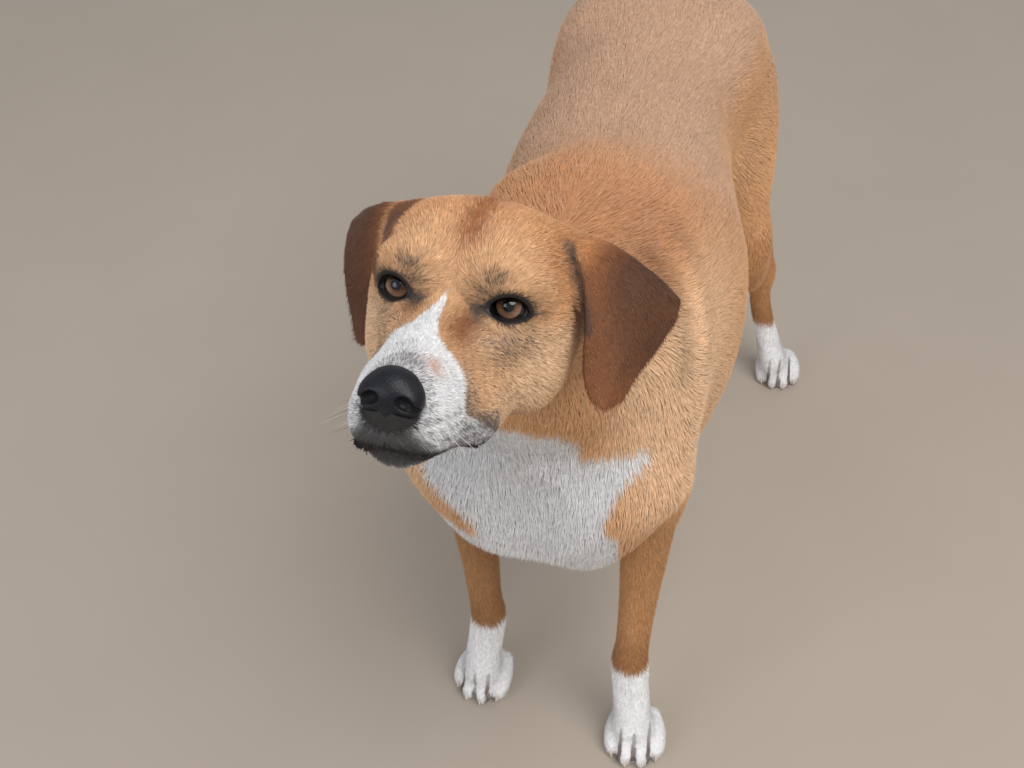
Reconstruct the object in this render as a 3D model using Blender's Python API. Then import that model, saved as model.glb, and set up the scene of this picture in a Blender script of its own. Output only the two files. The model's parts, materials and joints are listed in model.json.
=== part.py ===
"""Dog: a life-size standing model, short-haired, head raised, hanging ears, long tail.

Metres. The dog faces -Y, its left side is +X, and it stands on the floor at Z = 0.
The form is one rounded solid, blended from muscles, bones and pads given as rows of sizes in
millimetres. It is meshed, thinned out, and parted along flat gaps into the named pieces.
"""

import math

import bmesh
import bpy
import numpy as np
from mathutils import Matrix, Vector

MM = 0.001

# ---- driving sizes, millimetres
CENTRE = (18, -20)  # middle of the standing dog in the drawing below: it becomes the origin
GAP = 0.3  # clear gap between two pieces
BODY_GRID, HEAD_GRID, PAW_GRID = 7.0, 2.6, 2.4
BODY_FACES, HEAD_FACES, PAW_FACES, NOSE_FACES = 2300, 3000, 240, 200

# ---- head: its own frame has the origin midway between the pupils
HEAD_AT = (0, -395, 689)
HEAD_TURN = (-28.7, 3.8, 3.1)  # nose up, tilt, turn: degrees about X, Y and Z
HEAD_SIZE = 0.963
EYE = (28.5, 11.0, -1.5)
EYE_RADIUS = 11.8
EYE_OPENING = (12.2, 9.0, 5.6)  # half length, half depth, half height

# ---- legs: elbow, wrist, middle of the toes / hip, knee, hock, middle of the toes
FORELEG = {
    "left": ((68, -140, 298), (64, -180, 98), (80, -224)),
    "right": ((-96, -140, 296), (-77, -163, 96), (-84, -195)),
}
HINDLEG = {
    "left": ((55, 232, 430), (94, 194, 298), (104, 352, 150), (145, 325)),
    "right": ((-76, 232, 430), (-90, 186, 296), (-100, 340, 150), (-108, 306)),
}
PAW_TURN = {"front": 8, "hind": 10}
PAW_SIZE = {"front": 1.0, "hind": 0.93}
TOES = ((-20.5, -17.0, 9.2), (-7.2, -7.5, 9.8), (7.2, -7.5, 9.8), (20.5, -17.0, 9.2))  # across, ahead, radius
SIGN = {"left": 1, "right": -1}

# ---- trunk: y, x and height of the middle, half width, depth above, depth below
TRUNK = (
    (-258, -7, 385, 30, 40, 44),
    (-248, -7, 388, 52, 66, 72),
    (-222, -6, 398, 69, 96, 104),
    (-175, 2, 418, 86, 128, 130),
    (-120, 13, 428, 101, 139, 142),
    (-50, 12, 425, 108, 132, 141),
    (20, -2, 425, 105, 125, 136),
    (90, -10, 430, 95, 119, 124),
    (150, -10, 436, 86, 113, 104),
    (210, -7, 440, 80, 104, 82),
    (265, -8, 440, 78, 96, 66),
    (305, -10, 436, 62, 76, 50),
    (330, -10, 432, 30, 40, 30),
)

# ---- ears: from the root to the tip, each row is front edge, middle, rear edge, in the head's frame
EARS = {
    "left": (
        ((36, 44, 22), (38, 64, 22), (36, 84, 14)),
        ((49, 44, 26), (55, 68, 28), (53, 94, 18)),
        ((56, 44, 21), (75, 70, 23), (81, 99, 13)),
        ((62, 43, 3), (88, 68, 8), (107, 95, 0)),
        ((66, 42, -18), (88, 60, -16), (103, 83, -19)),
        ((68, 42, -37), (82, 50, -38), (94, 64, -36)),
        ((73, 43, -50), (81, 46, -55), (89, 54, -50)),
    ),
    "right": (
        ((-36, 46, 22), (-38, 64, 22), (-36, 84, 14)),
        ((-46, 50, 25), (-53, 70, 27), (-52, 92, 19)),
        ((-53, 56, 16), (-69, 76, 22), (-81, 98, 16)),
        ((-56, 60, 0), (-75, 76, 4), (-88, 95, 3)),
        ((-58, 66, -18), (-73, 76, -18), (-86, 90, -18)),
        ((-60, 70, -36), (-68, 75, -38), (-78, 84, -38)),
        ((-62, 71, -50), (-66, 74, -54), (-71, 78, -53)),
    ),
}
EAR_THICK = (6, 4.6, 3.6, 3.2, 3.0, 2.8, 2.4)

# ---- colours of the plain pieces: base colour and roughness
FINISH = {
    "coat_tan": ((0.56, 0.30, 0.13), 0.75),
    "coat_brown": ((0.16, 0.07, 0.035), 0.75),
    "coat_white": ((0.80, 0.77, 0.73), 0.75),
    "nose_leather": ((0.016, 0.016, 0.019), 0.35),
    "eye_brown": ((0.05, 0.02, 0.01), 0.08),
    "claw_horn": ((0.62, 0.52, 0.45), 0.4),
}


# ---------------------------------------------------------------- rounded forms
REACH = 0.02  # how far past its own box a form is worked out


def soft_min(a, b, k):
    """Smaller of two distances, rounded over a blend of width k."""
    h = np.maximum(k - np.abs(a - b), 0.0) / k
    return np.minimum(a, b) - h * h * k * 0.25


def euler(turn):
    """Rotation matrix of degrees about X, then Y, then Z."""
    x, y, z = (math.radians(v) for v in turn)
    rx = np.array([[1, 0, 0], [0, math.cos(x), -math.sin(x)], [0, math.sin(x), math.cos(x)]])
    ry = np.array([[math.cos(y), 0, math.sin(y)], [0, 1, 0], [-math.sin(y), 0, math.cos(y)]])
    rz = np.array([[math.cos(z), -math.sin(z), 0], [math.sin(z), math.cos(z), 0], [0, 0, 1]])
    return rz @ ry @ rx


def smooth_path(rows, steps):
    """Catmull-Rom curve through rows of numbers, places and radii together."""
    rows = np.array(rows, float)
    rows = np.vstack([2 * rows[0] - rows[1], rows, 2 * rows[-1] - rows[-2]])
    t = np.linspace(0, 1, steps, endpoint=False)[:, None]
    parts = []
    for a, b, c, d in zip(rows, rows[1:], rows[2:], rows[3:]):
        bend = (2 * a - 5 * b + 4 * c - d) * t**2 + (3 * b - a - 3 * c + d) * t**3
        parts.append(0.5 * (2 * b + (c - a) * t + bend))
    return np.vstack(parts + [rows[-2:-1]])


class Form:
    """Distances from a set of points to a solid that is built up shape by shape."""

    def __init__(self, points):
        self.points = points
        self.distance = np.full(len(points), 0.25)

    def near(self, shape, reach):
        p = self.points
        inside = ((p > shape.low - reach) & (p < shape.high + reach)).all(1)
        return np.flatnonzero(inside)

    def add(self, shape, k):
        """Joins a shape on, with a blend of k millimetres."""
        k *= MM
        at = self.near(shape, k + REACH)
        if len(at):
            self.distance[at] = soft_min(self.distance[at], shape(self.points[at]), k)

    def carve(self, shape, k):
        k *= MM
        at = self.near(shape, k + REACH)
        if len(at):
            self.distance[at] = -soft_min(-self.distance[at], shape(self.points[at]), k)


class Ball:
    """Ellipsoid: centre, three radii, and a turn in degrees."""

    def __init__(self, centre, radii, turn=(0, 0, 0)):
        self.centre = np.array(centre, float) * MM
        self.radii = np.array(radii, float) * np.ones(3) * MM
        self.axes = euler(turn)
        reach = np.sqrt(((self.axes * self.radii) ** 2).sum(1))
        self.low, self.high = self.centre - reach, self.centre + reach

    def __call__(self, p):
        q = (p - self.centre) @ (self.axes / self.radii)
        size = np.sqrt((q * q).sum(1)) + 1e-9
        slope = np.sqrt(((q / self.radii) ** 2).sum(1)) + 1e-9
        return size * (size - 1) / slope


class Limb:
    """Tube along a smooth path. A row is x, y, z, half width (along `across`), half depth."""

    def __init__(self, rows, steps=4, across=(1, 0, 0)):
        rows = [tuple(r) if len(r) == 5 else (*r, r[3]) for r in rows]
        self.path = smooth_path(rows, steps) * MM
        self.across = np.array(across, float)
        reach = self.path[:, 3:].max(1)[:, None]
        self.low = (self.path[:, :3] - reach).min(0)
        self.high = (self.path[:, :3] + reach).max(0)

    def __call__(self, p):
        best = np.full(len(p), 1.0)
        for a, b in zip(self.path, self.path[1:]):
            run = b[:3] - a[:3]
            rel = p - a[:3]
            t = np.clip(rel @ (run / (run @ run)), 0, 1)
            off = rel - t[:, None] * run
            wide = a[3] + (b[3] - a[3]) * t
            deep = a[4] + (b[4] - a[4]) * t
            side = off @ self.across
            rest = np.maximum((off * off).sum(1) - side * side, 0)
            size = np.sqrt(side * side / wide**2 + rest / deep**2) + 1e-6
            slope = np.sqrt(side * side / wide**4 + rest / deep**4) + 1e-6 / np.minimum(wide, deep)
            best = np.minimum(best, size * (size - 1) / slope)
        return best


class Barrel:
    """Trunk along Y: a row is y, x and height of the middle, half width, depth above, depth below."""

    FULLNESS = 2.3  # 2 would be an ellipse

    def __init__(self, rows, steps=6):
        self.path = smooth_path(rows, steps) * MM
        y, x, z, w, up, down = self.path.T
        self.low = np.array([(x - w).min(), y.min(), (z - down).min()])
        self.high = np.array([(x + w).max(), y.max(), (z + up).max()])

    def __call__(self, p):
        y, e = self.path[:, 0], self.FULLNESS
        x, z, w, up, down = (np.interp(p[:, 1], y, self.path[:, i]) for i in (1, 2, 3, 4, 5))
        dz = p[:, 2] - z
        h = np.where(dz > 0, up, down)
        u, v = np.abs(p[:, 0] - x) / w + 1e-6, np.abs(dz) / h + 1e-6
        size = (u**e + v**e) ** (1 / e)
        slope = np.sqrt((u ** (e - 1) / w) ** 2 + (v ** (e - 1) / h) ** 2) * size ** (1 - e)
        past = np.maximum(y[0] - p[:, 1], p[:, 1] - y[-1])
        return np.maximum((size - 1) / np.maximum(slope, 3.0), past)


class Sheet:
    """Curved flap: a grid of places with a half thickness at each, filled by triangles."""

    def __init__(self, grid, thick):
        grid, thick = grid * MM, thick * MM
        self.triangles = []
        for i in range(grid.shape[0] - 1):
            for j in range(grid.shape[1] - 1):
                a, b, c, d = (i, j), (i + 1, j), (i + 1, j + 1), (i, j + 1)
                for t in ((a, b, c), (a, c, d)):
                    self.triangles.append(([grid[v] for v in t], [thick[v] for v in t]))
        flat = grid.reshape(-1, 3)
        self.low, self.high = flat.min(0) - thick.max(), flat.max(0) + thick.max()

    def __call__(self, p):
        best = np.full(len(p), 1.0)
        for (a, b, c), r in self.triangles:
            e0, e1, rel = b - a, c - a, p - a
            d00, d01, d11, d20, d21 = e0 @ e0, e0 @ e1, e1 @ e1, rel @ e0, rel @ e1
            den = d00 * d11 - d01 * d01
            if den < 1e-18:
                continue
            v, w = (d11 * d20 - d01 * d21) / den, (d00 * d21 - d01 * d20) / den
            off = rel - v[:, None] * e0 - w[:, None] * e1
            radius = r[0] + v * (r[1] - r[0]) + w * (r[2] - r[0])
            face = np.sqrt((off * off).sum(1)) - radius
            score = np.where((v >= 0) & (w >= 0) & (v + w <= 1), face, 1.0)
            for s, e, rs, re in ((a, b, r[0], r[1]), (b, c, r[1], r[2]), (c, a, r[2], r[0])):
                run, q = e - s, p - s
                t = np.clip(q @ (run / (run @ run)), 0, 1)
                off = q - t[:, None] * run
                score = np.minimum(score, np.sqrt((off * off).sum(1)) - (rs + (re - rs) * t))
            best = np.minimum(best, score)
        return best


# ---------------------------------------------------------------- anatomy, body
def torso(form):
    form.add(Barrel(TRUNK), 10)
    form.add(Ball((0, -120, 515), (50, 85, 58)), 50)  # withers
    form.add(Ball((-9, 262, 478), (66, 85, 62)), 50)  # croup
    for s in SIGN.values():
        form.add(Limb(((s * 42, -118, 530, 24), (s * 64, -165, 470, 33), (s * 75 - 2, -212, 392, 34))), 40)
        form.add(Ball((s * 66 - 8, 215, 490), (26, 60, 40)), 50)  # point of the hip
        form.add(Ball((s * 38 - 6, -230, 365), (40, 36, 64)), 40)  # breast


def neck(form):
    rows = ((-1, -140, 446, 78, 96), (-2, -203, 492, 69, 82), (-2, -256, 543, 61, 68),
            (-1, -294, 588, 55, 56), (-1, -322, 630, 50, 46))
    form.add(Limb(rows), 50)


def foreleg(form, side):
    (ex, ey, ez), (cx, cy, cz), (tx, ty) = FORELEG[side]
    s = SIGN[side]

    def along(t, up, wide, deep):
        return (ex + (cx - ex) * t, ey + (cy - ey) * t, ez + (cz - ez) * t + up, wide, deep)

    # upper arm, under the skin of the breast
    form.add(Ball((ex - s * 17, ey - 38, ez + 75), (30, 52, 72), (-18, 0, 0)), 30)
    form.add(Limb(((ex - s * 15, ey - 66, ez + 88, 30, 38), (ex - s * 8, ey - 28, ez + 38, 28, 40),
                   (ex, ey, ez, 26, 34))), 30)
    # forearm, wrist and pastern
    form.add(Limb((along(0, 4, 26, 34), along(0.25, 0, 23.5, 29), along(0.60, 0, 18.5, 21),
                   along(0.86, 0, 16.5, 17.5), (cx, cy, cz, 18, 18.5),
                   (cx + (tx - cx) * 0.35, cy + (ty - cy) * 0.30, cz * 0.62, 17.5, 16.5),
                   (cx + (tx - cx) * 0.60, cy + (ty - cy) * 0.52, 32, 20, 18))), 20)
    form.add(Ball((ex - s * 2, ey + 22, ez + 8), (16, 20, 26)), 30)  # point of the elbow
    form.add(Ball((cx + s * 3, cy + 17, cz - 8), (8, 8, 11)), 12)  # pad behind the wrist


def hindleg(form, side):
    (hx, hy, hz), (kx, ky, kz), (ox, oy, oz), (tx, ty) = HINDLEG[side]
    s = SIGN[side]
    # thigh: a broad, flat muscle from the croup to the knee
    form.add(Ball(((hx + kx) / 2, (hy + ky) / 2 + 25, (hz + kz) / 2 + 15), (30, 74, 98), (-14, s * 5, 0)), 22)
    form.add(Limb(((hx, hy + 18, hz, 32, 66), ((hx + kx) / 2, (hy + ky) / 2 + 20, (hz + kz) / 2 + 6, 29, 58),
                   (kx - s * 4, ky + 10, kz, 23, 30))), 30)
    # gaskin
    form.add(Limb(((kx, ky + 4, kz + 16, 23, 26), (kx, ky + 22, kz - 12, 25, 34),
                   (kx + (ox - kx) * 0.45, ky + (oy - ky) * 0.45 + 13, kz + (oz - kz) * 0.5, 19, 36),
                   (kx + (ox - kx) * 0.85, ky + (oy - ky) * 0.85 + 2, oz + 24, 13.5, 20),
                   (ox, oy - 3, oz, 14.5, 17))), 20)
    # hamstrings, tendon and point of the hock
    form.add(Limb(((hx + s * 2, hy + 70, hz - 50, 20, 28), (kx - s * 6, oy - 52, kz + 4, 16, 26),
                   (ox, oy - 10, oz + 52, 8, 11), (ox, oy + 13, oz + 10, 9, 10))), 25)
    # rear pastern
    form.add(Limb(((ox, oy - 1, oz, 14.5, 18), (ox + (tx - ox) * 0.15, oy - 1, oz * 0.7, 13.2, 15),
                   (ox + (tx - ox) * 0.45, oy - 5, oz * 0.42, 14, 15),
                   (ox + (tx - ox) * 0.75, oy - 15, 30, 17, 17))), 16)


def tail(form):
    form.add(Limb(((-10, 300, 488, 24), (-10, 330, 474, 23), (-8, 362, 430, 19.5), (-6, 384, 370, 17),
                   (-4, 398, 300, 14.5), (-3, 412, 240, 12.5), (-4, 434, 192, 9.5), (-6, 456, 168, 5.5))), 25)


def paw_frame(end, side):
    """Middle of the toes, the directions ahead and outward, and the size of one paw."""
    x, y = (FORELEG if end == "front" else HINDLEG)[side][-1]
    turn = SIGN[side] * PAW_TURN[end]
    a = math.radians(turn)
    return (x, y), (math.sin(a), -math.cos(a)), (math.cos(a), math.sin(a)), PAW_SIZE[end], turn


def paw_place(frame, ahead, out, up):
    (x, y), f, o, size, _ = frame
    return (x + (f[0] * ahead + o[0] * out) * size, y + (f[1] * ahead + o[1] * out) * size, up * size)


def paw(form, end, side):
    frame = paw_frame(end, side)
    out, size, turn = frame[2], frame[3], (0, 0, frame[4])

    def ball(place, radii, k):
        form.add(Ball(paw_place(frame, *place), [r * size for r in radii], turn), k)

    ball((-30, 0, 17), (22.5, 23, 21), 12)
    ball((-36, 0, 5), (17, 13, 9), 6)  # heel pad
    for across, ahead, r in TOES:
        spots = ((ahead - 22, across * 0.72, 22), (ahead - 8, across * 0.95, 19.5),
                 (ahead + 3, across, 13.5), (ahead + 7, across, 8))
        rows = [(*paw_place(frame, *spot), r * w * size) for spot, w in zip(spots, (1.0, 1.06, 1.02, 0.8))]
        form.add(Limb(rows, 3, (*out, 0)), 3.5)
        ball((ahead + 1, across, 4), (r * 0.72, 11, 7), 4)  # toe pad


# ---------------------------------------------------------------- anatomy, head
def skull(form):
    def ball(place, radii, k):
        form.add(Ball(place, radii), k)

    ball((0, 56, -2), (50, 58, 46.5), 10)  # braincase
    ball((0, 84, -8), (40, 36, 34), 20)  # nape
    # muzzle, bridge of the nose, front of the upper jaw
    form.add(Limb(((0, 14, -32, 32, 30), (0, -16, -34, 28, 27), (0, -42, -36, 24, 24), (0, -66, -37, 21, 21),
                   (0, -80, -38, 18, 18))), 12)
    form.add(Limb(((0, 6, -12, 15, 13), (0, -30, -21, 13, 12), (0, -62, -25, 12, 11.5), (0, -82, -27, 11, 11))), 12)
    ball((0, -82, -44), (11.5, 9, 14), 8)
    for s in SIGN.values():
        ball((s * 18, 27, 9), (24, 35, 25), 14)  # forehead
        ball((s * 26, 53, 5), (24.5, 42, 31), 16)  # temple
        form.add(Limb(((s * 24, -6, -19, 10), (s * 29, 13, -16, 10), (s * 38, 42, -10, 12),
                       (s * 40, 62, -4, 11))), 15)  # cheek bone
        ball((s * 37.5, 55, -33), (20, 31, 33), 16)  # jaw muscle
        form.add(Limb(((s * 13, 4, 7, 8), (s * 23, 0, 12, 8), (s * 34, 5, 12, 8), (s * 40, 17, 5, 7.5))), 10)  # brow
        ball((s * 14, -44, -47.5), (13.5, 34, 19.5), 11)  # upper lip
        ball((s * 10.5, -70, -47), (12, 17, 16), 9)
        ball((s * 26, -16, -52), (11.5, 27, 18), 12)
        ball((s * 43, 68, 18), (14, 24, 15), 14)  # root of the ear
    # throat
    form.add(Limb(((0, 20, -50, 32, 20), (0, 70, -40, 42, 34), (0, 108, -28, 46, 42))), 30)


def lower_jaw(form):
    form.add(Limb(((0, -68, -61, 12, 8), (0, -48, -64, 16, 9.5), (0, -18, -66, 22, 12), (0, 16, -61, 27, 14),
                   (0, 50, -54, 31, 17))), 6)
    form.add(Ball((0, -68, -61.5), (13, 12, 8.5)), 6)  # chin


def eyelids(form):
    for s in SIGN.values():
        form.add(Ball((s * EYE[0], EYE[1], EYE[2]), EYE_RADIUS + 2.4), 5)


def mouth(form):
    for s in SIGN.values():
        form.carve(Limb(((0, -88, -55, 1.3), (s * 9, -85, -57, 1.3), (s * 17, -76, -59.5, 1.3),
                         (s * 21.5, -60, -63.5, 1.3), (s * 24.5, -44, -66, 1.4), (s * 28, -30, -65.5, 1.4),
                         (s * 33, -16, -61.5, 1.2))), 2)


def nose(form, swell=0.0):
    form.add(Ball((0, -88, -28.5), (13.5 + swell, 11 + swell, 12 + swell)), 3)
    form.add(Ball((0, -88.5, -39), (8 + swell, 8.5 + swell, 7.5 + swell)), 4)
    for s in SIGN.values():
        form.add(Ball((s * 8.6, -90, -31), (7 + swell, 8.3 + swell, 8.6 + swell)), 4)
    if not swell:
        for s in SIGN.values():
            form.carve(Limb(((s * 5.4, -101, -30, 2.3), (s * 7.6, -97.5, -30, 3.6), (s * 11.5, -96.5, -32.5, 2.2),
                             (s * 15.8, -90, -34.5, 1.1))), 1.2)
        form.carve(Limb(((0, -101, -31, 0.7), (0, -99.5, -37, 1.0), (0, -95.5, -46, 1.0))), 1.5)


def ear(form, side):
    thick = np.array(EAR_THICK)[:, None] * np.array([0.85, 1.0, 0.85])
    rows = np.concatenate([np.array(EARS[side], float), thick[:, :, None]], 2)
    rows = np.stack([smooth_path(rows[:, j], 2) for j in range(3)], 1)
    rows = np.stack([smooth_path(row, 2) for row in rows])
    form.add(Sheet(rows[:, :, :3], rows[:, :, 3]), 5)


HEAD_AXES = euler((0, 0, HEAD_TURN[2])) @ euler((HEAD_TURN[0], 0, 0)) @ euler((0, HEAD_TURN[1], 0))


def to_head(points):
    return (points - np.array(HEAD_AT) * MM) @ HEAD_AXES / HEAD_SIZE


def from_head(places):
    """Millimetres in the head's frame to metres in the dog's."""
    return (np.array(places, float) * HEAD_SIZE @ HEAD_AXES.T + np.array(HEAD_AT)) * MM


def head_form(points, *makers):
    form = Form(to_head(points))
    for maker in makers:
        maker(form)
    return form.distance * HEAD_SIZE


def body_form(points):
    """The whole dog without its ears."""
    form = Form(points)
    torso(form)
    neck(form)
    for side in SIGN:
        foreleg(form, side)
        hindleg(form, side)
    tail(form)
    distance = form.distance
    feet = Form(points)
    for end in PAW_TURN:
        for side in SIGN:
            paw(feet, end, side)
    at = np.flatnonzero(feet.distance < 0.08)
    distance[at] = soft_min(distance[at], feet.distance[at], 10 * MM)
    at = np.flatnonzero(np.linalg.norm(points - np.array(HEAD_AT) * MM, axis=1) < 0.24)
    if len(at):
        top = head_form(points[at], skull)
        jaw = head_form(points[at], lower_jaw)
        distance[at] = soft_min(distance[at], soft_min(top, jaw, 4 * MM), 22 * MM)
    return distance


def front_form(points):
    """The head end with ears, lids, mouth, and the bed of the nose."""
    form = Form(to_head(points))
    form.distance = body_form(points) / HEAD_SIZE
    for side in SIGN:
        ear(form, side)
    eyelids(form)
    mouth(form)
    return form.distance * HEAD_SIZE


# ---------------------------------------------------------------- meshing
def sample(distance, low, high, step):
    """Distances on a lattice, worked out only near the surface, and closed at the box."""
    block = 4
    low, high, step = np.array(low) * MM, np.array(high) * MM, step * MM
    count = -(-((high - low) / step).astype(int) // block) * block + 1
    axes = [a + step * np.arange(n) for a, n in zip(low, count)]
    mids = [a[:-1:block] + step * block / 2 for a in axes]
    rough = distance(np.stack(np.meshgrid(*mids, indexing="ij"), -1).reshape(-1, 3))
    rough = rough.reshape([len(m) for m in mids])
    values = np.repeat(np.repeat(np.repeat(rough, block, 0), block, 1), block, 2)
    values = np.pad(values, ((0, 1), (0, 1), (0, 1)), mode="edge")
    keep = np.zeros(values.shape, bool)
    for i, j, k in np.argwhere(np.abs(rough) < step * block * 1.35) * block:
        keep[i : i + block + 1, j : j + block + 1, k : k + block + 1] = True
    at = np.argwhere(keep)
    values[keep] = distance(np.stack([axes[c][at[:, c]] for c in range(3)], -1))
    for axis in range(3):
        for end in (0, -1):
            face = [slice(None)] * 3
            face[axis] = end
            values[tuple(face)] = np.maximum(values[tuple(face)], step * 0.4)
    return axes, np.pad(values, 1, constant_values=step)


CORNERS = [(i, j, k) for i in (0, 1) for j in (0, 1) for k in (0, 1)]


def one_group(corners):
    """Whether these corners of a cube hang together along its edges."""
    corners = list(corners)
    reached = corners[:1]
    for a in reached:
        for b in corners:
            if b not in reached and sum(abs(u - v) for u, v in zip(a, b)) == 1:
                reached.append(b)
    return len(reached) == len(corners)


def fill_pinches(values, depth):
    """Fills in the lattice where the surface would touch itself inside one cell."""
    torn = np.zeros(256, bool)
    for code in range(256):
        solid = [c for i, c in enumerate(CORNERS) if code >> i & 1]
        torn[code] = not (one_group(solid) and one_group(set(CORNERS) - set(solid)))
    n = np.array(values.shape) - 1
    for _ in range(12):
        inside = values < 0
        code = sum(inside[i : i + n[0], j : j + n[1], k : k + n[2]].astype(int) << b
                   for b, (i, j, k) in enumerate(CORNERS))
        cells = np.argwhere(torn[code])
        if not len(cells):
            break
        around = cells[:, None, :] + np.array(CORNERS)[None]
        here = values[tuple(around.reshape(-1, 3).T)].reshape(-1, 8)
        pick = np.argmin(np.where(here >= 0, here, np.inf), 1)
        values[tuple(around[np.arange(len(cells)), pick].T)] = -depth
    return values


def surface(axes, values):
    """One vertex in each cell that the surface crosses, and one quad over each crossed edge."""
    step = axes[0][1] - axes[0][0]
    values = fill_pinches(values, step * 0.05)
    inside = values < 0
    n = np.array(values.shape) - 1
    full = sum(inside[i : i + n[0], j : j + n[1], k : k + n[2]].astype(int) for i, j, k in CORNERS)
    cells = np.argwhere((full > 0) & (full < 8))
    number = -np.ones(n, int)
    number[tuple(cells.T)] = np.arange(len(cells))
    total, hits = np.zeros((len(cells), 3)), np.zeros(len(cells))
    for a in CORNERS:
        for axis in range(3):
            if a[axis]:
                continue
            b = tuple(v + (i == axis) for i, v in enumerate(a))
            va, vb = values[tuple((cells + a).T)], values[tuple((cells + b).T)]
            crossed = (va < 0) != (vb < 0)
            t = np.where(crossed, va / np.where(crossed, va - vb, 1), 0)
            total += (np.array(a) + np.eye(3)[axis] * t[:, None]) * crossed[:, None]
            hits += crossed
    points = np.array([a[0] - step for a in axes]) + (cells + total / hits[:, None]) * step
    quads = []
    for axis in range(3):
        u, v = np.eye(3, dtype=int)[(axis + 1) % 3], np.eye(3, dtype=int)[(axis + 2) % 3]
        lo, hi = [slice(None)] * 3, [slice(None)] * 3
        lo[axis], hi[axis] = slice(0, -1), slice(1, None)
        e = np.argwhere(inside[tuple(lo)] != inside[tuple(hi)])
        solid = inside[tuple(e.T)]
        ring = np.stack([number[tuple((e - s).T)] for s in (u * 0, u, u + v, v)], 1)
        ring[~solid] = ring[~solid][:, ::-1]
        quads.append(ring)
    return points, np.vstack(quads)


# ---------------------------------------------------------------- Blender objects
SHIFT = np.array([CENTRE[0], CENTRE[1], 0]) * MM


def material(name):
    found = bpy.data.materials.get(name)
    if found:
        return found
    made = bpy.data.materials.new(name)
    made.use_nodes = True
    colour, rough = FINISH[name]
    node = made.node_tree.nodes["Principled BSDF"]
    node.inputs["Base Color"].default_value = (*colour, 1)
    node.inputs["Roughness"].default_value = rough
    return made


def new_object(name, points, faces):
    """A mesh object from points in the dog's drawing frame, moved to the origin."""
    mesh = bpy.data.meshes.new(name)
    mesh.from_pydata((points - SHIFT).tolist(), [], [tuple(f) for f in faces])
    mesh.update()
    obj = bpy.data.objects.new(name, mesh)
    bpy.context.scene.collection.objects.link(obj)
    return obj


def bake(obj):
    """Applies the object's modifiers."""
    graph = bpy.context.evaluated_depsgraph_get()
    made = bpy.data.meshes.new_from_object(obj.evaluated_get(graph))
    obj.modifiers.clear()
    old, obj.data = obj.data, made
    bpy.data.meshes.remove(old)


def thin_out(obj, faces):
    count = sum(len(p.vertices) - 2 for p in obj.data.polygons)
    decimate = obj.modifiers.new("thin", "DECIMATE")
    decimate.ratio = min(1.0, faces / count)
    decimate.use_collapse_triangulate = True
    bake(obj)


def moulded(name, distance, low, high, step, faces):
    obj = new_object(name, *surface(*sample(distance, low, high, step)))
    thin_out(obj, faces)
    return obj


def subtract(obj, cutter):
    cut = obj.modifiers.new("cut", "BOOLEAN")
    cut.object, cut.operation, cut.solver = cutter, "DIFFERENCE", "EXACT"
    bpy.context.view_layer.update()
    bake(obj)
    bpy.data.objects.remove(cutter)


def slice_off(obj, place, normal):
    """Cuts the object flat at a plane and keeps the side that the normal points away from."""
    shape = bmesh.new()
    shape.from_mesh(obj.data)
    geometry = shape.verts[:] + shape.edges[:] + shape.faces[:]
    at = Vector(np.array(place) - SHIFT)
    cut = bmesh.ops.bisect_plane(shape, geom=geometry, dist=1e-7, plane_co=at, plane_no=Vector(normal),
                                 clear_outer=True)
    rim = [e for e in cut["geom_cut"] if isinstance(e, bmesh.types.BMEdge)]
    filled = bmesh.ops.edgeloop_fill(shape, edges=rim)["faces"]
    bmesh.ops.triangulate(shape, faces=filled)
    bmesh.ops.recalc_face_normals(shape, faces=shape.faces)
    shape.to_mesh(obj.data)
    shape.free()


def plate(place, across, up, width, height):
    """A thin cutting plate: its middle, two directions along it, and its size."""
    across, up = Vector(across).normalized(), Vector(up)
    normal = across.cross(up).normalized()
    up = normal.cross(across)
    middle = Vector(np.array(place, float) * MM - SHIFT)
    shape = bmesh.new()
    bmesh.ops.create_cube(shape, size=1)
    frame = Matrix((across * width * MM, up * height * MM, normal * GAP * MM)).transposed().to_4x4()
    bmesh.ops.transform(shape, matrix=Matrix.Translation(middle) @ frame, verts=shape.verts)
    mesh = bpy.data.meshes.new("plate")
    shape.to_mesh(mesh)
    shape.free()
    return mesh


def ball_object(name, place, axes):
    """Ellipsoid at a place in metres; the columns of `axes` are its half lengths in millimetres."""
    shape = bmesh.new()
    bmesh.ops.create_icosphere(shape, subdivisions=2, radius=1)
    points = np.array([v.co for v in shape.verts]) @ np.array(axes).T * MM + place
    faces = [[v.index for v in f.verts] for f in shape.faces]
    shape.free()
    return new_object(name, points, faces)


def part_along(obj, plates):
    """Cuts thin gaps through the object."""
    shape = bmesh.new()
    for mesh in plates:
        shape.from_mesh(mesh)
        bpy.data.meshes.remove(mesh)
    mesh = bpy.data.meshes.new("plates")
    shape.to_mesh(mesh)
    shape.free()
    cutter = bpy.data.objects.new("plates", mesh)
    bpy.context.scene.collection.objects.link(cutter)
    subtract(obj, cutter)


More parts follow.
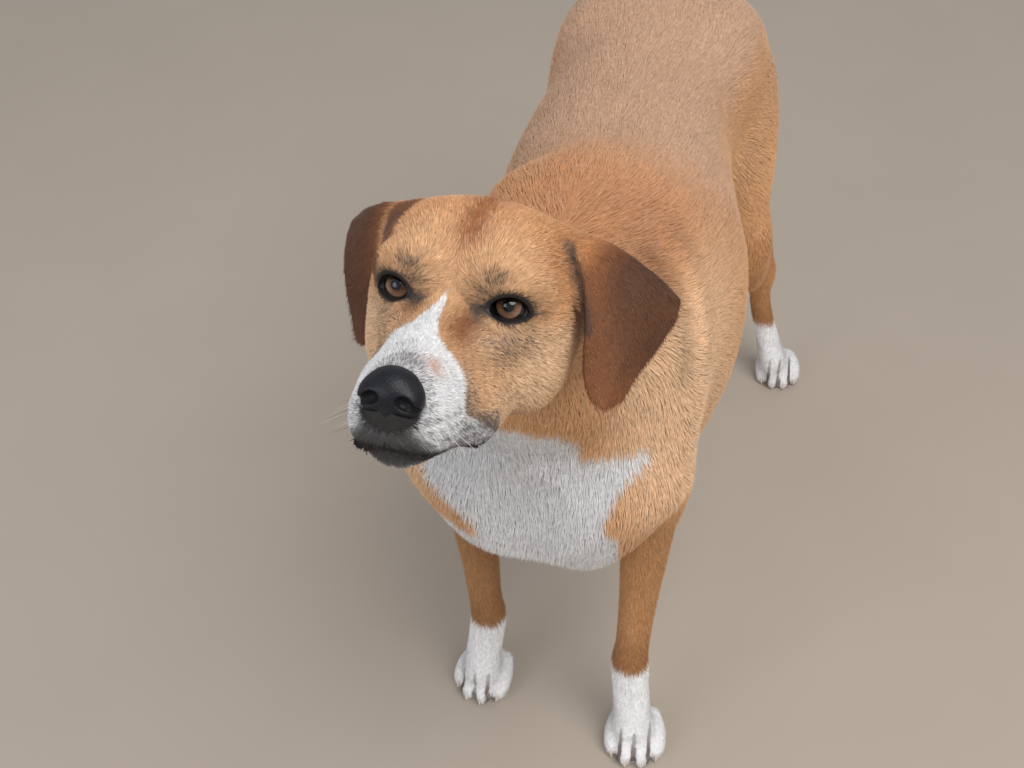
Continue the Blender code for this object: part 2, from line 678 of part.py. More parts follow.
def pieces(obj, seeds):
    """Splits the object into its loose pieces. Each seed place names the piece that is nearest to it."""
    shape = bmesh.new()
    shape.from_mesh(obj.data)
    shape.verts.ensure_lookup_table()
    group = np.full(len(shape.verts), -1)
    count = 0
    for start in shape.verts:
        if group[start.index] >= 0:
            continue
        group[start.index], heap = count, [start]
        while heap:
            for edge in heap.pop().link_edges:
                for v in edge.verts:
                    if group[v.index] < 0:
                        group[v.index] = count
                        heap.append(v)
        count += 1
    shape.free()
    points = np.array([v.co for v in obj.data.vertices])
    faces = [tuple(p.vertices) for p in obj.data.polygons]
    found = {}
    for name, place in seeds.items():
        nearest = np.argmin(((points - (np.array(place, float) * MM - SHIFT)) ** 2).sum(1))
        keep = np.flatnonzero(group == group[nearest])
        renumber = {old: new for new, old in enumerate(keep)}
        chosen = [[renumber[v] for v in f] for f in faces if f[0] in renumber]
        found[name] = new_object(name, points[keep] + SHIFT, chosen)
    bpy.data.objects.remove(obj)
    return found


def finish(obj, name):
    obj.data.materials.clear()
    obj.data.materials.append(material(name))
    for polygon in obj.data.polygons:
        polygon.use_smooth = True
    obj.data.set_sharp_from_angle(angle=math.radians(55))


# ---------------------------------------------------------------- building
def make_body():
    """Neck, trunk, tail and legs."""
    body = moulded("body", body_form, (-170, -420, 50), (190, 490, 760), BODY_GRID, BODY_FACES)
    nod = HEAD_AXES @ np.array(HEAD_PLANE[1])
    slice_off(body, from_head(HEAD_PLANE[0]) - nod * GAP / 2 * MM * -1, -nod)
    slice_off(body, (0, 0, (PAW_TOP + GAP / 2) * MM), (0, 0, -1))
    cuts = [plate((0, -206, 486), (1, 0, 0), (0, 0.69, 0.72), 240, 330),
            plate((-9, 352, 440), (1, 0, 0), (0, 0, 1), 90, 130)]
    seeds = {"neck": (0, -300, 600), "trunk": (0, 50, 548), "tail": (-3, 412, 240)}
    for side in SIGN:
        ex, ey, _ = FORELEG[side][0]
        cuts.append(plate((ex - SIGN[side] * 4, ey - 12, 262), (1, 0, 0), (0, 1, 0), 92, 120))
        seeds["foreleg_" + side] = (FORELEG[side][1][0], FORELEG[side][1][1], 130)
        kx, ky, _ = HINDLEG[side][1]
        cuts.append(plate((kx - SIGN[side] * 4, ky + 56, 322), (1, 0, 0), (0, 1, 0), 106, 200))
        seeds["hindleg_" + side] = (HINDLEG[side][2][0], HINDLEG[side][2][1], 150)
    part_along(body, cuts)
    return pieces(body, seeds)


# place and direction, in the head's frame, of the flat joint between head and neck
HEAD_PLANE = ((0, 98, 0), (0, 0.949, -0.316))
PAW_TOP = 62


def make_head():
    front = moulded("front", front_form, (-140, -520, 520), (160, -240, 800), HEAD_GRID, HEAD_FACES)
    nod = HEAD_AXES @ np.array(HEAD_PLANE[1])
    slice_off(front, from_head(HEAD_PLANE[0]) - nod * GAP / 2 * MM, nod)
    ahead, up = HEAD_AXES @ (0, 1, 0), HEAD_AXES @ (0, 0, 1)
    side = HEAD_AXES @ (1, 0, 0)
    cuts = [plate(from_head((58, 72, -8)) / MM, ahead, up - side * 0.17, 130, 190),
            plate(from_head((-55, 76, -8)) / MM, ahead * 1.0 + side * 0.15, up + side * 0.07, 110, 190)]
    part_along(front, cuts)
    seeds = {"head": from_head((0, 30, 34)) / MM, "ear_left": from_head((88, 62, -8)) / MM,
             "ear_right": from_head((-76, 78, -10)) / MM}
    made = pieces(front, seeds)
    # the nose sits in its own bed
    low, high = from_head((0, -92, -28)) / MM - 24, from_head((0, -92, -28)) / MM + 24
    made["nose"] = moulded("nose", lambda p: head_form(p, nose), low, high, 1.2, NOSE_FACES)
    bed = moulded("bed", lambda p: head_form(p, lambda form: nose(form, 0.9)), low, high, 1.6, 400)
    subtract(made["head"], bed)
    for side_name, s in SIGN.items():
        place = from_head((s * EYE[0], EYE[1], EYE[2]))
        slot = from_head((s * (EYE[0] + 0.6), EYE[1] - 14, EYE[2] + 0.3))
        turn = HEAD_AXES @ euler((0, s * 2, s * 14))
        radius = (EYE_RADIUS + GAP) * HEAD_SIZE
        subtract(made["head"], ball_object("socket", place, np.eye(3) * radius))
        subtract(made["head"], ball_object("opening", slot, turn * np.array(EYE_OPENING) * HEAD_SIZE))
        eye = ball_object("eye_" + side_name, place, np.eye(3) * EYE_RADIUS * HEAD_SIZE)
        made[eye.name] = eye
    return made


def claw_rings(frame, across, ahead, r):
    """A short curved cone: rings of the claw from its root in the toe to its tip."""
    rings = ((5, 12.0, 0.34, 0.40), (12, 9.4, 0.27, 0.32), (17.5, 4.4, 0.09, 0.11))
    sides = 5
    _, f, o, size, _ = frame
    rows = []
    for forward, up, wide, deep in rings:
        middle = np.array(paw_place(frame, ahead + forward, across * 1.02, up))
        for i in range(sides):
            a = 2 * math.pi * i / sides
            lift = np.array([f[0] * 0.5, f[1] * 0.5, 1]) * math.sin(a) * deep
            rows.append(middle + (np.array([*o, 0]) * math.cos(a) * wide + lift) * r * size)
    faces = [(i, (i + 1) % sides, sides + (i + 1) % sides, sides + i) for i in range(sides)]
    faces += [tuple(v + sides for v in face) for face in faces]
    return np.array(rows) * MM, faces + [tuple(range(sides))[::-1], tuple(range(2 * sides, 3 * sides))]


def make_paws():
    made = {}
    for end in PAW_TURN:
        for side in SIGN:
            frame = paw_frame(end, side)
            x, y = frame[0]
            name = f"paw_{end}_{side}"
            box = (x - 62, y - 40, -16), (x + 62, y + 105, PAW_TOP + 12)
            obj = moulded(name, body_form, *box, PAW_GRID, PAW_FACES)
            slice_off(obj, (0, 0, 0), (0, 0, -1))
            slice_off(obj, (0, 0, (PAW_TOP - GAP / 2) * MM), (0, 0, 1))
            for number, (across, ahead, r) in enumerate(TOES, 1):
                points, faces = claw_rings(frame, across, ahead, r)
                claw = new_object(f"claw_{end}_{side}_{number}", points, faces)
                made[claw.name] = claw
                middle = points.mean(0)
                out = (points - middle) / np.linalg.norm(points - middle, axis=1)[:, None]
                bigger = new_object("claw_bed", points + out * 0.45 * MM, faces)
                for tool in (claw, bigger):
                    fix = bmesh.new()
                    fix.from_mesh(tool.data)
                    bmesh.ops.recalc_face_normals(fix, faces=fix.faces)
                    bmesh.ops.triangulate(fix, faces=fix.faces)
                    fix.to_mesh(tool.data)
                    fix.free()
                subtract(obj, bigger)
            middle = paw_place(frame, -30, 0, 30)
            made.update(pieces(obj, {name: middle}))
    return made


def main():
    for obj in list(bpy.data.objects):
        bpy.data.objects.remove(obj)
    made = make_body() | make_head() | make_paws()
    looks = {"paw": "coat_white", "nose": "nose_leather", "eye": "eye_brown", "ear": "coat_brown", "claw": "claw_horn"}
    for name, obj in made.items():
        obj.name = name
        finish(obj, looks.get(name.split("_")[0], "coat_tan"))


main()
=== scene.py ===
"""Looks of the standing dog: one skin over the whole body, a coat of fine tufts, eyes, nose, claws, whiskers.

Millimetres in the rows of sizes, metres in the meshes. The skin is the same rounded form as the solids,
worked out finer and drawn in by the depth of the coat, so the tips of the tufts reach the solids' outline.
"""

import json
import math
from types import SimpleNamespace

import bpy
import numpy as np
from mathutils import Matrix, Vector

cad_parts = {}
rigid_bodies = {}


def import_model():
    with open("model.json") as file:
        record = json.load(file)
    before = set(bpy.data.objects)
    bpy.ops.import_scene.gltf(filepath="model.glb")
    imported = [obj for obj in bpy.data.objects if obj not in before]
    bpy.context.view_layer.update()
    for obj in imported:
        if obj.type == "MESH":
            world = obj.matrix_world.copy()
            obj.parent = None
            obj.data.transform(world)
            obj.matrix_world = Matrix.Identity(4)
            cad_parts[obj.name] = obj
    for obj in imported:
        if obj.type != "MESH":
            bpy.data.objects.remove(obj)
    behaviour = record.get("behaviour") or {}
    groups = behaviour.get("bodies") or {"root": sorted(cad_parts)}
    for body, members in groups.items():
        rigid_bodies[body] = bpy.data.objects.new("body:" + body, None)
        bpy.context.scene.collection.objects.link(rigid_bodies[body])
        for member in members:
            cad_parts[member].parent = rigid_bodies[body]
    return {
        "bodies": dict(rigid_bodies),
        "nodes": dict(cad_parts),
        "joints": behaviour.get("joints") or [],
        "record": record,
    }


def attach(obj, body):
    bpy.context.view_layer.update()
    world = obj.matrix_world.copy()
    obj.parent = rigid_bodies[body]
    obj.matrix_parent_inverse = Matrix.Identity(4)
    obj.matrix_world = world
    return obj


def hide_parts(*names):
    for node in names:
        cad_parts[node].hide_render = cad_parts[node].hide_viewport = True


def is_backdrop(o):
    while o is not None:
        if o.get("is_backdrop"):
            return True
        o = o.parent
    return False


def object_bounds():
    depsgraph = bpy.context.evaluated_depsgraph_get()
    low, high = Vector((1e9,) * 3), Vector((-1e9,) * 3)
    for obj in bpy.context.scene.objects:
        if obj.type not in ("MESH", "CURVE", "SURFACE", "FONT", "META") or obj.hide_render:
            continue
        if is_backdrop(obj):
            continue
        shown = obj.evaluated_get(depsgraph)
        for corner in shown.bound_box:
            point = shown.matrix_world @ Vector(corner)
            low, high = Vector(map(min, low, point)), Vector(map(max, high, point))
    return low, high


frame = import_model()
CAD_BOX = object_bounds()

MM = 0.001

# ---- driving sizes, millimetres
CENTRE = (18, -20)  # middle of the standing dog in the drawing below: it becomes the origin
SKIN_GRID, NOSE_GRID = 3.8, 0.7  # lattices that skin and nose are worked out on
SKIN_BOX = ((-178, -520, -12), (196, 490, 790))
EAR_SWELL = 1.6  # more half thickness while the ears are meshed, as they are thin for the lattice
LOWEST = 0.3  # skin and tufts stay this far above the floor
HEAD_REACH, HEAD_REACH_WIDE = 210, 240  # what lies nearer than this to the head's origin may belong to it

# ---- head: its own frame has the origin midway between the pupils
HEAD_AT = (0, -395, 689)
HEAD_TURN = (-28.7, 3.8, 3.1)  # nose up, tilt, turn: degrees about X, Y and Z
HEAD_SIZE = 0.963
EYE = (28.5, 11.0, -1.5)
EYE_RADIUS = 11.8
EYE_MARGIN = 0.35  # the eyeball's radius is this much less than its solid's
CORNEA, CORNEA_REACH = 1.15, 0.68  # bulge at the pupil, and where it ends, radians from the gaze
GAZE = (1.0, -11.0, 1.4)  # of the left eye
NOSE_MIDDLE = (0, -92, -28)

# ---- legs: elbow, wrist, middle of the toes / hip, knee, hock, middle of the toes
FORELEG = {
    "left": ((68, -140, 298), (64, -180, 98), (80, -224)),
    "right": ((-96, -140, 296), (-77, -163, 96), (-84, -195)),
}
HINDLEG = {
    "left": ((55, 232, 430), (94, 194, 298), (104, 352, 150), (145, 325)),
    "right": ((-76, 232, 430), (-90, 186, 296), (-100, 340, 150), (-108, 306)),
}
PAW_TURN = {"front": 8, "hind": 10}
PAW_SIZE = {"front": 1.0, "hind": 0.93}
TOES = ((-20.5, -17.0, 9.2), (-7.2, -7.5, 9.8), (7.2, -7.5, 9.8), (20.5, -17.0, 9.2))  # across, ahead, radius
SIGN = {"left": 1, "right": -1}

# ---- trunk: y, x and height of the middle, half width, depth above, depth below
TRUNK = (
    (-258, -7, 385, 30, 40, 44),
    (-248, -7, 388, 52, 66, 72),
    (-222, -6, 398, 69, 96, 104),
    (-175, 2, 418, 86, 128, 130),
    (-120, 13, 428, 101, 139, 142),
    (-50, 12, 425, 108, 132, 141),
    (20, -2, 425, 105, 125, 136),
    (90, -10, 430, 95, 119, 124),
    (150, -10, 436, 86, 113, 104),
    (210, -7, 440, 80, 104, 82),
    (265, -8, 440, 78, 96, 66),
    (305, -10, 436, 62, 76, 50),
    (330, -10, 432, 30, 40, 30),
)

# ---- ears: from the root to the tip, each row is front edge, middle, rear edge, in the head's frame
EARS = {
    "left": (
        ((36, 44, 22), (38, 64, 22), (36, 84, 14)),
        ((49, 44, 26), (55, 68, 28), (53, 94, 18)),
        ((56, 44, 21), (75, 70, 23), (81, 99, 13)),
        ((62, 43, 3), (88, 68, 8), (107, 95, 0)),
        ((66, 42, -18), (88, 60, -16), (103, 83, -19)),
        ((68, 42, -37), (82, 50, -38), (94, 64, -36)),
        ((73, 43, -50), (81, 46, -55), (89, 54, -50)),
    ),
    "right": (
        ((-36, 46, 22), (-38, 64, 22), (-36, 84, 14)),
        ((-46, 50, 25), (-53, 70, 27), (-52, 92, 19)),
        ((-53, 56, 16), (-69, 76, 22), (-81, 98, 16)),
        ((-56, 60, 0), (-75, 76, 4), (-88, 95, 3)),
        ((-58, 66, -18), (-73, 76, -18), (-86, 90, -18)),
        ((-60, 70, -36), (-68, 75, -38), (-78, 84, -38)),
        ((-62, 71, -50), (-66, 74, -54), (-71, 78, -53)),
    ),
}
EAR_THICK = (6, 4.6, 3.6, 3.2, 3.0, 2.8, 2.4)


# ---------------------------------------------------------------- rounded forms
REACH = 0.02  # how far past its own box a form is worked out


def soft_min(a, b, k):
    """Smaller of two distances, rounded over a blend of width k."""
    h = np.maximum(k - np.abs(a - b), 0.0) / k
    return np.minimum(a, b) - h * h * k * 0.25


def euler(turn):
    """Rotation matrix of degrees about X, then Y, then Z."""
    x, y, z = (math.radians(v) for v in turn)
    rx = np.array([[1, 0, 0], [0, math.cos(x), -math.sin(x)], [0, math.sin(x), math.cos(x)]])
    ry = np.array([[math.cos(y), 0, math.sin(y)], [0, 1, 0], [-math.sin(y), 0, math.cos(y)]])
    rz = np.array([[math.cos(z), -math.sin(z), 0], [math.sin(z), math.cos(z), 0], [0, 0, 1]])
    return rz @ ry @ rx


def smooth_path(rows, steps):
    """Catmull-Rom curve through rows of numbers, places and radii together."""
    rows = np.array(rows, float)
    rows = np.vstack([2 * rows[0] - rows[1], rows, 2 * rows[-1] - rows[-2]])
    t = np.linspace(0, 1, steps, endpoint=False)[:, None]
    parts = []
    for a, b, c, d in zip(rows, rows[1:], rows[2:], rows[3:]):
        bend = (2 * a - 5 * b + 4 * c - d) * t**2 + (3 * b - a - 3 * c + d) * t**3
        parts.append(0.5 * (2 * b + (c - a) * t + bend))
    return np.vstack(parts + [rows[-2:-1]])


class Form:
    """Distances from a set of points to a solid that is built up shape by shape."""

    def __init__(self, points):
        self.points = points
        self.axes = np.ascontiguousarray(points.T)
        self.distance = np.full(len(points), 0.25)

    def near(self, shape, reach):
        x, y, z = self.axes
        low, high = shape.low - reach, shape.high + reach
        at = np.flatnonzero((z > low[2]) & (z < high[2]))
        at = at[(y[at] > low[1]) & (y[at] < high[1])]
        return at[(x[at] > low[0]) & (x[at] < high[0])]

    def add(self, shape, k):
        """Joins a shape on, with a blend of k millimetres."""
        k *= MM
        at = self.near(shape, k + REACH)
        if len(at):
            self.distance[at] = soft_min(self.distance[at], shape(self.points[at]), k)

    def carve(self, shape, k):
        k *= MM
        at = self.near(shape, k + REACH)
        if len(at):
            self.distance[at] = -soft_min(-self.distance[at], shape(self.points[at]), k)


class Ball:
    """Ellipsoid: centre, three radii, and a turn in degrees."""

    def __init__(self, centre, radii, turn=(0, 0, 0)):
        self.centre = np.array(centre, float) * MM
        self.radii = np.array(radii, float) * np.ones(3) * MM
        self.axes = euler(turn)
        reach = np.sqrt(((self.axes * self.radii) ** 2).sum(1))
        self.low, self.high = self.centre - reach, self.centre + reach

    def __call__(self, p):
        q = (p - self.centre) @ (self.axes / self.radii)
        size = np.sqrt((q * q).sum(1)) + 1e-9
        slope = np.sqrt(((q / self.radii) ** 2).sum(1)) + 1e-9
        return size * (size - 1) / slope


class Limb:
    """Tube along a smooth path. A row is x, y, z, half width (along `across`), half depth."""

    def __init__(self, rows, steps=4, across=(1, 0, 0)):
        rows = [tuple(r) if len(r) == 5 else (*r, r[3]) for r in rows]
        self.path = smooth_path(rows, steps) * MM
        self.across = np.array(across, float)
        reach = self.path[:, 3:].max(1)[:, None]
        self.low = (self.path[:, :3] - reach).min(0)
        self.high = (self.path[:, :3] + reach).max(0)

    def __call__(self, p):
        best = np.full(len(p), 1.0)
        for a, b in zip(self.path, self.path[1:]):
            run = b[:3] - a[:3]
            rel = p - a[:3]
            t = np.clip(rel @ (run / (run @ run)), 0, 1)
            off = rel - t[:, None] * run
            wide = a[3] + (b[3] - a[3]) * t
            deep = a[4] + (b[4] - a[4]) * t
            side = off @ self.across
            rest = np.maximum(np.einsum("ij,ij->i", off, off) - side * side, 0)
            size = np.sqrt(side * side / wide**2 + rest / deep**2) + 1e-6
            slope = np.sqrt(side * side / wide**4 + rest / deep**4) + 1e-6 / np.minimum(wide, deep)
            best = np.minimum(best, size * (size - 1) / slope)
        return best


class Barrel:
    """Trunk along Y: a row is y, x and height of the middle, half width, depth above, depth below."""

    FULLNESS = 2.3  # 2 would be an ellipse

    def __init__(self, rows, steps=6):
        self.path = smooth_path(rows, steps) * MM
        y, x, z, w, up, down = self.path.T
        self.low = np.array([(x - w).min(), y.min(), (z - down).min()])
        self.high = np.array([(x + w).max(), y.max(), (z + up).max()])

    def __call__(self, p):
        y, e = self.path[:, 0], self.FULLNESS
        x, z, w, up, down = (np.interp(p[:, 1], y, self.path[:, i]) for i in (1, 2, 3, 4, 5))
        dz = p[:, 2] - z
        h = np.where(dz > 0, up, down)
        u, v = np.abs(p[:, 0] - x) / w + 1e-6, np.abs(dz) / h + 1e-6
        size = (u**e + v**e) ** (1 / e)
        slope = np.sqrt((u ** (e - 1) / w) ** 2 + (v ** (e - 1) / h) ** 2) * size ** (1 - e)
        past = np.maximum(y[0] - p[:, 1], p[:, 1] - y[-1])
        return np.maximum((size - 1) / np.maximum(slope, 3.0), past)


class Sheet:
    """Curved flap: a grid of places with a half thickness at each, filled by triangles."""

    def __init__(self, grid, thick):
        grid, thick = grid * MM, thick * MM
        self.triangles = []
        for i in range(grid.shape[0] - 1):
            for j in range(grid.shape[1] - 1):
                a, b, c, d = (i, j), (i + 1, j), (i + 1, j + 1), (i, j + 1)
                for t in ((a, b, c), (a, c, d)):
                    self.triangles.append(([grid[v] for v in t], [thick[v] for v in t]))
        flat = grid.reshape(-1, 3)
        self.low, self.high = flat.min(0) - thick.max(), flat.max(0) + thick.max()

    def __call__(self, p):
        best = np.full(len(p), 1.0)
        for (a, b, c), r in self.triangles:
            e0, e1, rel = b - a, c - a, p - a
            d00, d01, d11, d20, d21 = e0 @ e0, e0 @ e1, e1 @ e1, rel @ e0, rel @ e1
            den = d00 * d11 - d01 * d01
            if den < 1e-18:
                continue
            v, w = (d11 * d20 - d01 * d21) / den, (d00 * d21 - d01 * d20) / den
            off = rel - v[:, None] * e0 - w[:, None] * e1
            radius = r[0] + v * (r[1] - r[0]) + w * (r[2] - r[0])
            face = np.sqrt(np.einsum("ij,ij->i", off, off)) - radius
            score = np.where((v >= 0) & (w >= 0) & (v + w <= 1), face, 1.0)
            for s, e, rs, re in ((a, b, r[0], r[1]), (b, c, r[1], r[2]), (c, a, r[2], r[0])):
                run, q = e - s, p - s
                t = np.clip(q @ (run / (run @ run)), 0, 1)
                off = q - t[:, None] * run
                score = np.minimum(score, np.sqrt(np.einsum("ij,ij->i", off, off)) - (rs + (re - rs) * t))
            best = np.minimum(best, score)
        return best


# ---------------------------------------------------------------- anatomy, body
def torso(form):
    form.add(Barrel(TRUNK), 10)
    form.add(Ball((0, -120, 515), (50, 85, 58)), 50)  # withers
    form.add(Ball((-9, 262, 478), (66, 85, 62)), 50)  # croup
    for s in SIGN.values():
        form.add(Limb(((s * 42, -118, 530, 24), (s * 64, -165, 470, 33), (s * 75 - 2, -212, 392, 34))), 40)
        form.add(Ball((s * 66 - 8, 215, 490), (26, 60, 40)), 50)  # point of the hip
        form.add(Ball((s * 38 - 6, -230, 365), (40, 36, 64)), 40)  # breast


def neck(form):
    rows = ((-1, -140, 446, 78, 96), (-2, -203, 492, 69, 82), (-2, -256, 543, 61, 68),
            (-1, -294, 588, 55, 56), (-1, -322, 630, 50, 46))
    form.add(Limb(rows), 50)


def foreleg(form, side):
    (ex, ey, ez), (cx, cy, cz), (tx, ty) = FORELEG[side]
    s = SIGN[side]

    def along(t, up, wide, deep):
        return (ex + (cx - ex) * t, ey + (cy - ey) * t, ez + (cz - ez) * t + up, wide, deep)

    # upper arm, under the skin of the breast
    form.add(Ball((ex - s * 17, ey - 38, ez + 75), (30, 52, 72), (-18, 0, 0)), 30)
    form.add(Limb(((ex - s * 15, ey - 66, ez + 88, 30, 38), (ex - s * 8, ey - 28, ez + 38, 28, 40),
                   (ex, ey, ez, 26, 34))), 30)
    # forearm, wrist and pastern
    form.add(Limb((along(0, 4, 26, 34), along(0.25, 0, 23.5, 29), along(0.60, 0, 18.5, 21),
                   along(0.86, 0, 16.5, 17.5), (cx, cy, cz, 18, 18.5),
                   (cx + (tx - cx) * 0.35, cy + (ty - cy) * 0.30, cz * 0.62, 17.5, 16.5),
                   (cx + (tx - cx) * 0.60, cy + (ty - cy) * 0.52, 32, 20, 18))), 20)
    form.add(Ball((ex - s * 2, ey + 22, ez + 8), (16, 20, 26)), 30)  # point of the elbow
    form.add(Ball((cx + s * 3, cy + 17, cz - 8), (8, 8, 11)), 12)  # pad behind the wrist


def hindleg(form, side):
    (hx, hy, hz), (kx, ky, kz), (ox, oy, oz), (tx, _) = HINDLEG[side]
    s = SIGN[side]
    # thigh: a broad, flat muscle from the croup to the knee
    form.add(Ball(((hx + kx) / 2, (hy + ky) / 2 + 25, (hz + kz) / 2 + 15), (30, 74, 98), (-14, s * 5, 0)), 22)
    form.add(Limb(((hx, hy + 18, hz, 32, 66), ((hx + kx) / 2, (hy + ky) / 2 + 20, (hz + kz) / 2 + 6, 29, 58),
                   (kx - s * 4, ky + 10, kz, 23, 30))), 30)
    # gaskin
    form.add(Limb(((kx, ky + 4, kz + 16, 23, 26), (kx, ky + 22, kz - 12, 25, 34),
                   (kx + (ox - kx) * 0.45, ky + (oy - ky) * 0.45 + 13, kz + (oz - kz) * 0.5, 19, 36),
                   (kx + (ox - kx) * 0.85, ky + (oy - ky) * 0.85 + 2, oz + 24, 13.5, 20),
                   (ox, oy - 3, oz, 14.5, 17))), 20)
    # hamstrings, tendon and point of the hock
    form.add(Limb(((hx + s * 2, hy + 70, hz - 50, 20, 28), (kx - s * 6, oy - 52, kz + 4, 16, 26),
                   (ox, oy - 10, oz + 52, 8, 11), (ox, oy + 13, oz + 10, 9, 10))), 25)
    # rear pastern
    form.add(Limb(((ox, oy - 1, oz, 14.5, 18), (ox + (tx - ox) * 0.15, oy - 1, oz * 0.7, 13.2, 15),
                   (ox + (tx - ox) * 0.45, oy - 5, oz * 0.42, 14, 15),
                   (ox + (tx - ox) * 0.75, oy - 15, 30, 17, 17))), 16)


def tail(form):
    form.add(Limb(((-10, 300, 488, 24), (-10, 330, 474, 23), (-8, 362, 430, 19.5), (-6, 384, 370, 17),
                   (-4, 398, 300, 14.5), (-3, 412, 240, 12.5), (-4, 434, 192, 9.5), (-6, 456, 168, 5.5))), 25)


def paw_frame(end, side):
    """Middle of the toes, the directions ahead and outward, and the size of one paw."""
    x, y = (FORELEG if end == "front" else HINDLEG)[side][-1]
    turn = SIGN[side] * PAW_TURN[end]
    a = math.radians(turn)
    return (x, y), (math.sin(a), -math.cos(a)), (math.cos(a), math.sin(a)), PAW_SIZE[end], turn


def paw_place(frame, ahead, out, up):
    (x, y), f, o, size, _ = frame
    return (x + (f[0] * ahead + o[0] * out) * size, y + (f[1] * ahead + o[1] * out) * size, up * size)


def paw(form, end, side):
    frame = paw_frame(end, side)
    out, size, turn = frame[2], frame[3], (0, 0, frame[4])

    def ball(place, radii, k):
        form.add(Ball(paw_place(frame, *place), [r * size for r in radii], turn), k)

    ball((-30, 0, 17), (22.5, 23, 21), 12)
    ball((-36, 0, 5), (17, 13, 9), 6)  # heel pad
    for across, ahead, r in TOES:
        spots = ((ahead - 22, across * 0.72, 22), (ahead - 8, across * 0.95, 19.5),
                 (ahead + 3, across, 13.5), (ahead + 7, across, 8))
        rows = [(*paw_place(frame, *spot), r * w * size) for spot, w in zip(spots, (1.0, 1.06, 1.02, 0.8))]
        form.add(Limb(rows, 3, (*out, 0)), 3.5)
        ball((ahead + 1, across, 4), (r * 0.72, 11, 7), 4)  # toe pad


# ---------------------------------------------------------------- anatomy, head
def skull(form):
    def ball(place, radii, k):
        form.add(Ball(place, radii), k)

    ball((0, 56, -2), (50, 58, 46.5), 10)  # braincase
    ball((0, 84, -8), (40, 36, 34), 20)  # nape
    # muzzle, bridge of the nose, front of the upper jaw
    form.add(Limb(((0, 14, -32, 32, 30), (0, -16, -34, 28, 27), (0, -42, -36, 24, 24), (0, -66, -37, 21, 21),
                   (0, -80, -38, 18, 18))), 12)
    form.add(Limb(((0, 6, -12, 15, 13), (0, -30, -21, 13, 12), (0, -62, -25, 12, 11.5),
                   (0, -82, -27, 11, 11))), 12)
    ball((0, -82, -44), (11.5, 9, 14), 8)
    for s in SIGN.values():
        ball((s * 18, 27, 9), (24, 35, 25), 14)  # forehead
        ball((s * 26, 53, 5), (24.5, 42, 31), 16)  # temple
        form.add(Limb(((s * 24, -6, -19, 10), (s * 29, 13, -16, 10), (s * 38, 42, -10, 12),
                       (s * 40, 62, -4, 11))), 15)  # cheek bone
        ball((s * 37.5, 55, -33), (20, 31, 33), 16)  # jaw muscle
        brow = ((s * 13, 4, 7, 8), (s * 23, 0, 12, 8), (s * 34, 5, 12, 8), (s * 40, 17, 5, 7.5))
        form.add(Limb(brow), 10)
        ball((s * 14, -44, -47.5), (13.5, 34, 19.5), 11)  # upper lip
        ball((s * 10.5, -70, -47), (12, 17, 16), 9)
        ball((s * 26, -16, -52), (11.5, 27, 18), 12)
        ball((s * 43, 68, 18), (14, 24, 15), 14)  # root of the ear
    # throat
    form.add(Limb(((0, 20, -50, 32, 20), (0, 70, -40, 42, 34), (0, 108, -28, 46, 42))), 30)


def lower_jaw(form):
    form.add(Limb(((0, -68, -61, 12, 8), (0, -48, -64, 16, 9.5), (0, -18, -66, 22, 12), (0, 16, -61, 27, 14),
                   (0, 50, -54, 31, 17))), 6)
    form.add(Ball((0, -68, -61.5), (13, 12, 8.5)), 6)  # chin


def eyelids(form):
    for s in SIGN.values():
        form.add(Ball((s * EYE[0], EYE[1], EYE[2]), EYE_RADIUS + 2.4), 5)


def mouth_path(radius):
    """Where the lips meet, from the middle back to each corner."""
    for s in SIGN.values():
        spots = ((0, -88, -55), (9, -85, -57), (17, -76, -59.5), (21.5, -60, -63.5), (24.5, -44, -66),
                 (28, -30, -65.5), (33, -16, -61.5))
        yield Limb([(s * x, y, z, radius) for x, y, z in spots])


def mouth(form):
    for limb in mouth_path(1.3):
        form.carve(limb, 2)


def nostrils(grown=0.0):
    for s in SIGN.values():
        spots = ((5.4, -101, -30, 2.0), (7.6, -97.5, -30.3, 3.2), (11.5, -96.5, -32.5, 2.1),
                 (15.8, -90, -34.5, 1.1))
        yield Limb([(s * x, y, z, r + grown) for x, y, z, r in spots])


def nose(form):
    form.add(Ball((0, -88, -27.6), (13.2, 11, 11)), 3)
    form.add(Ball((0, -88.5, -37), (6, 8.5, 7.2)), 4)
    for s in SIGN.values():
        form.add(Ball((s * 8.6, -90, -30.4), (6.8, 8.3, 7.4)), 3)
    for limb in nostrils():
        form.carve(limb, 1.2)
    form.carve(Limb(((0, -101, -31, 0.7), (0, -99.5, -37, 1.0), (0, -95.5, -46, 1.0))), 1.5)


def ear(form, side, swell=0.0):
    thick = np.array(EAR_THICK)[:, None] * np.array([0.85, 1.0, 0.85]) + swell
    rows = np.concatenate([np.array(EARS[side], float), thick[:, :, None]], 2)
    rows = np.stack([smooth_path(rows[:, j], 2) for j in range(3)], 1)
    rows = np.stack([smooth_path(row, 2) for row in rows])
    form.add(Sheet(rows[:, :, :3], rows[:, :, 3]), 5)


HEAD_AXES = euler((0, 0, HEAD_TURN[2])) @ euler((HEAD_TURN[0], 0, 0)) @ euler((0, HEAD_TURN[1], 0))


def to_head(points):
    return (points - np.array(HEAD_AT) * MM) @ HEAD_AXES / HEAD_SIZE


def from_head(places):
    """Millimetres in the head's frame to metres in the dog's."""
    return (np.array(places, float) * HEAD_SIZE @ HEAD_AXES.T + np.array(HEAD_AT)) * MM


def head_form(points, *makers):
    form = Form(to_head(points))
    for maker in makers:
        maker(form)
    return form.distance * HEAD_SIZE


def near_head(points, reach):
    """Numbers of the points nearer to the head's origin than reach millimetres."""
    return np.flatnonzero(np.linalg.norm(points - np.array(HEAD_AT) * MM, axis=1) < reach * MM)


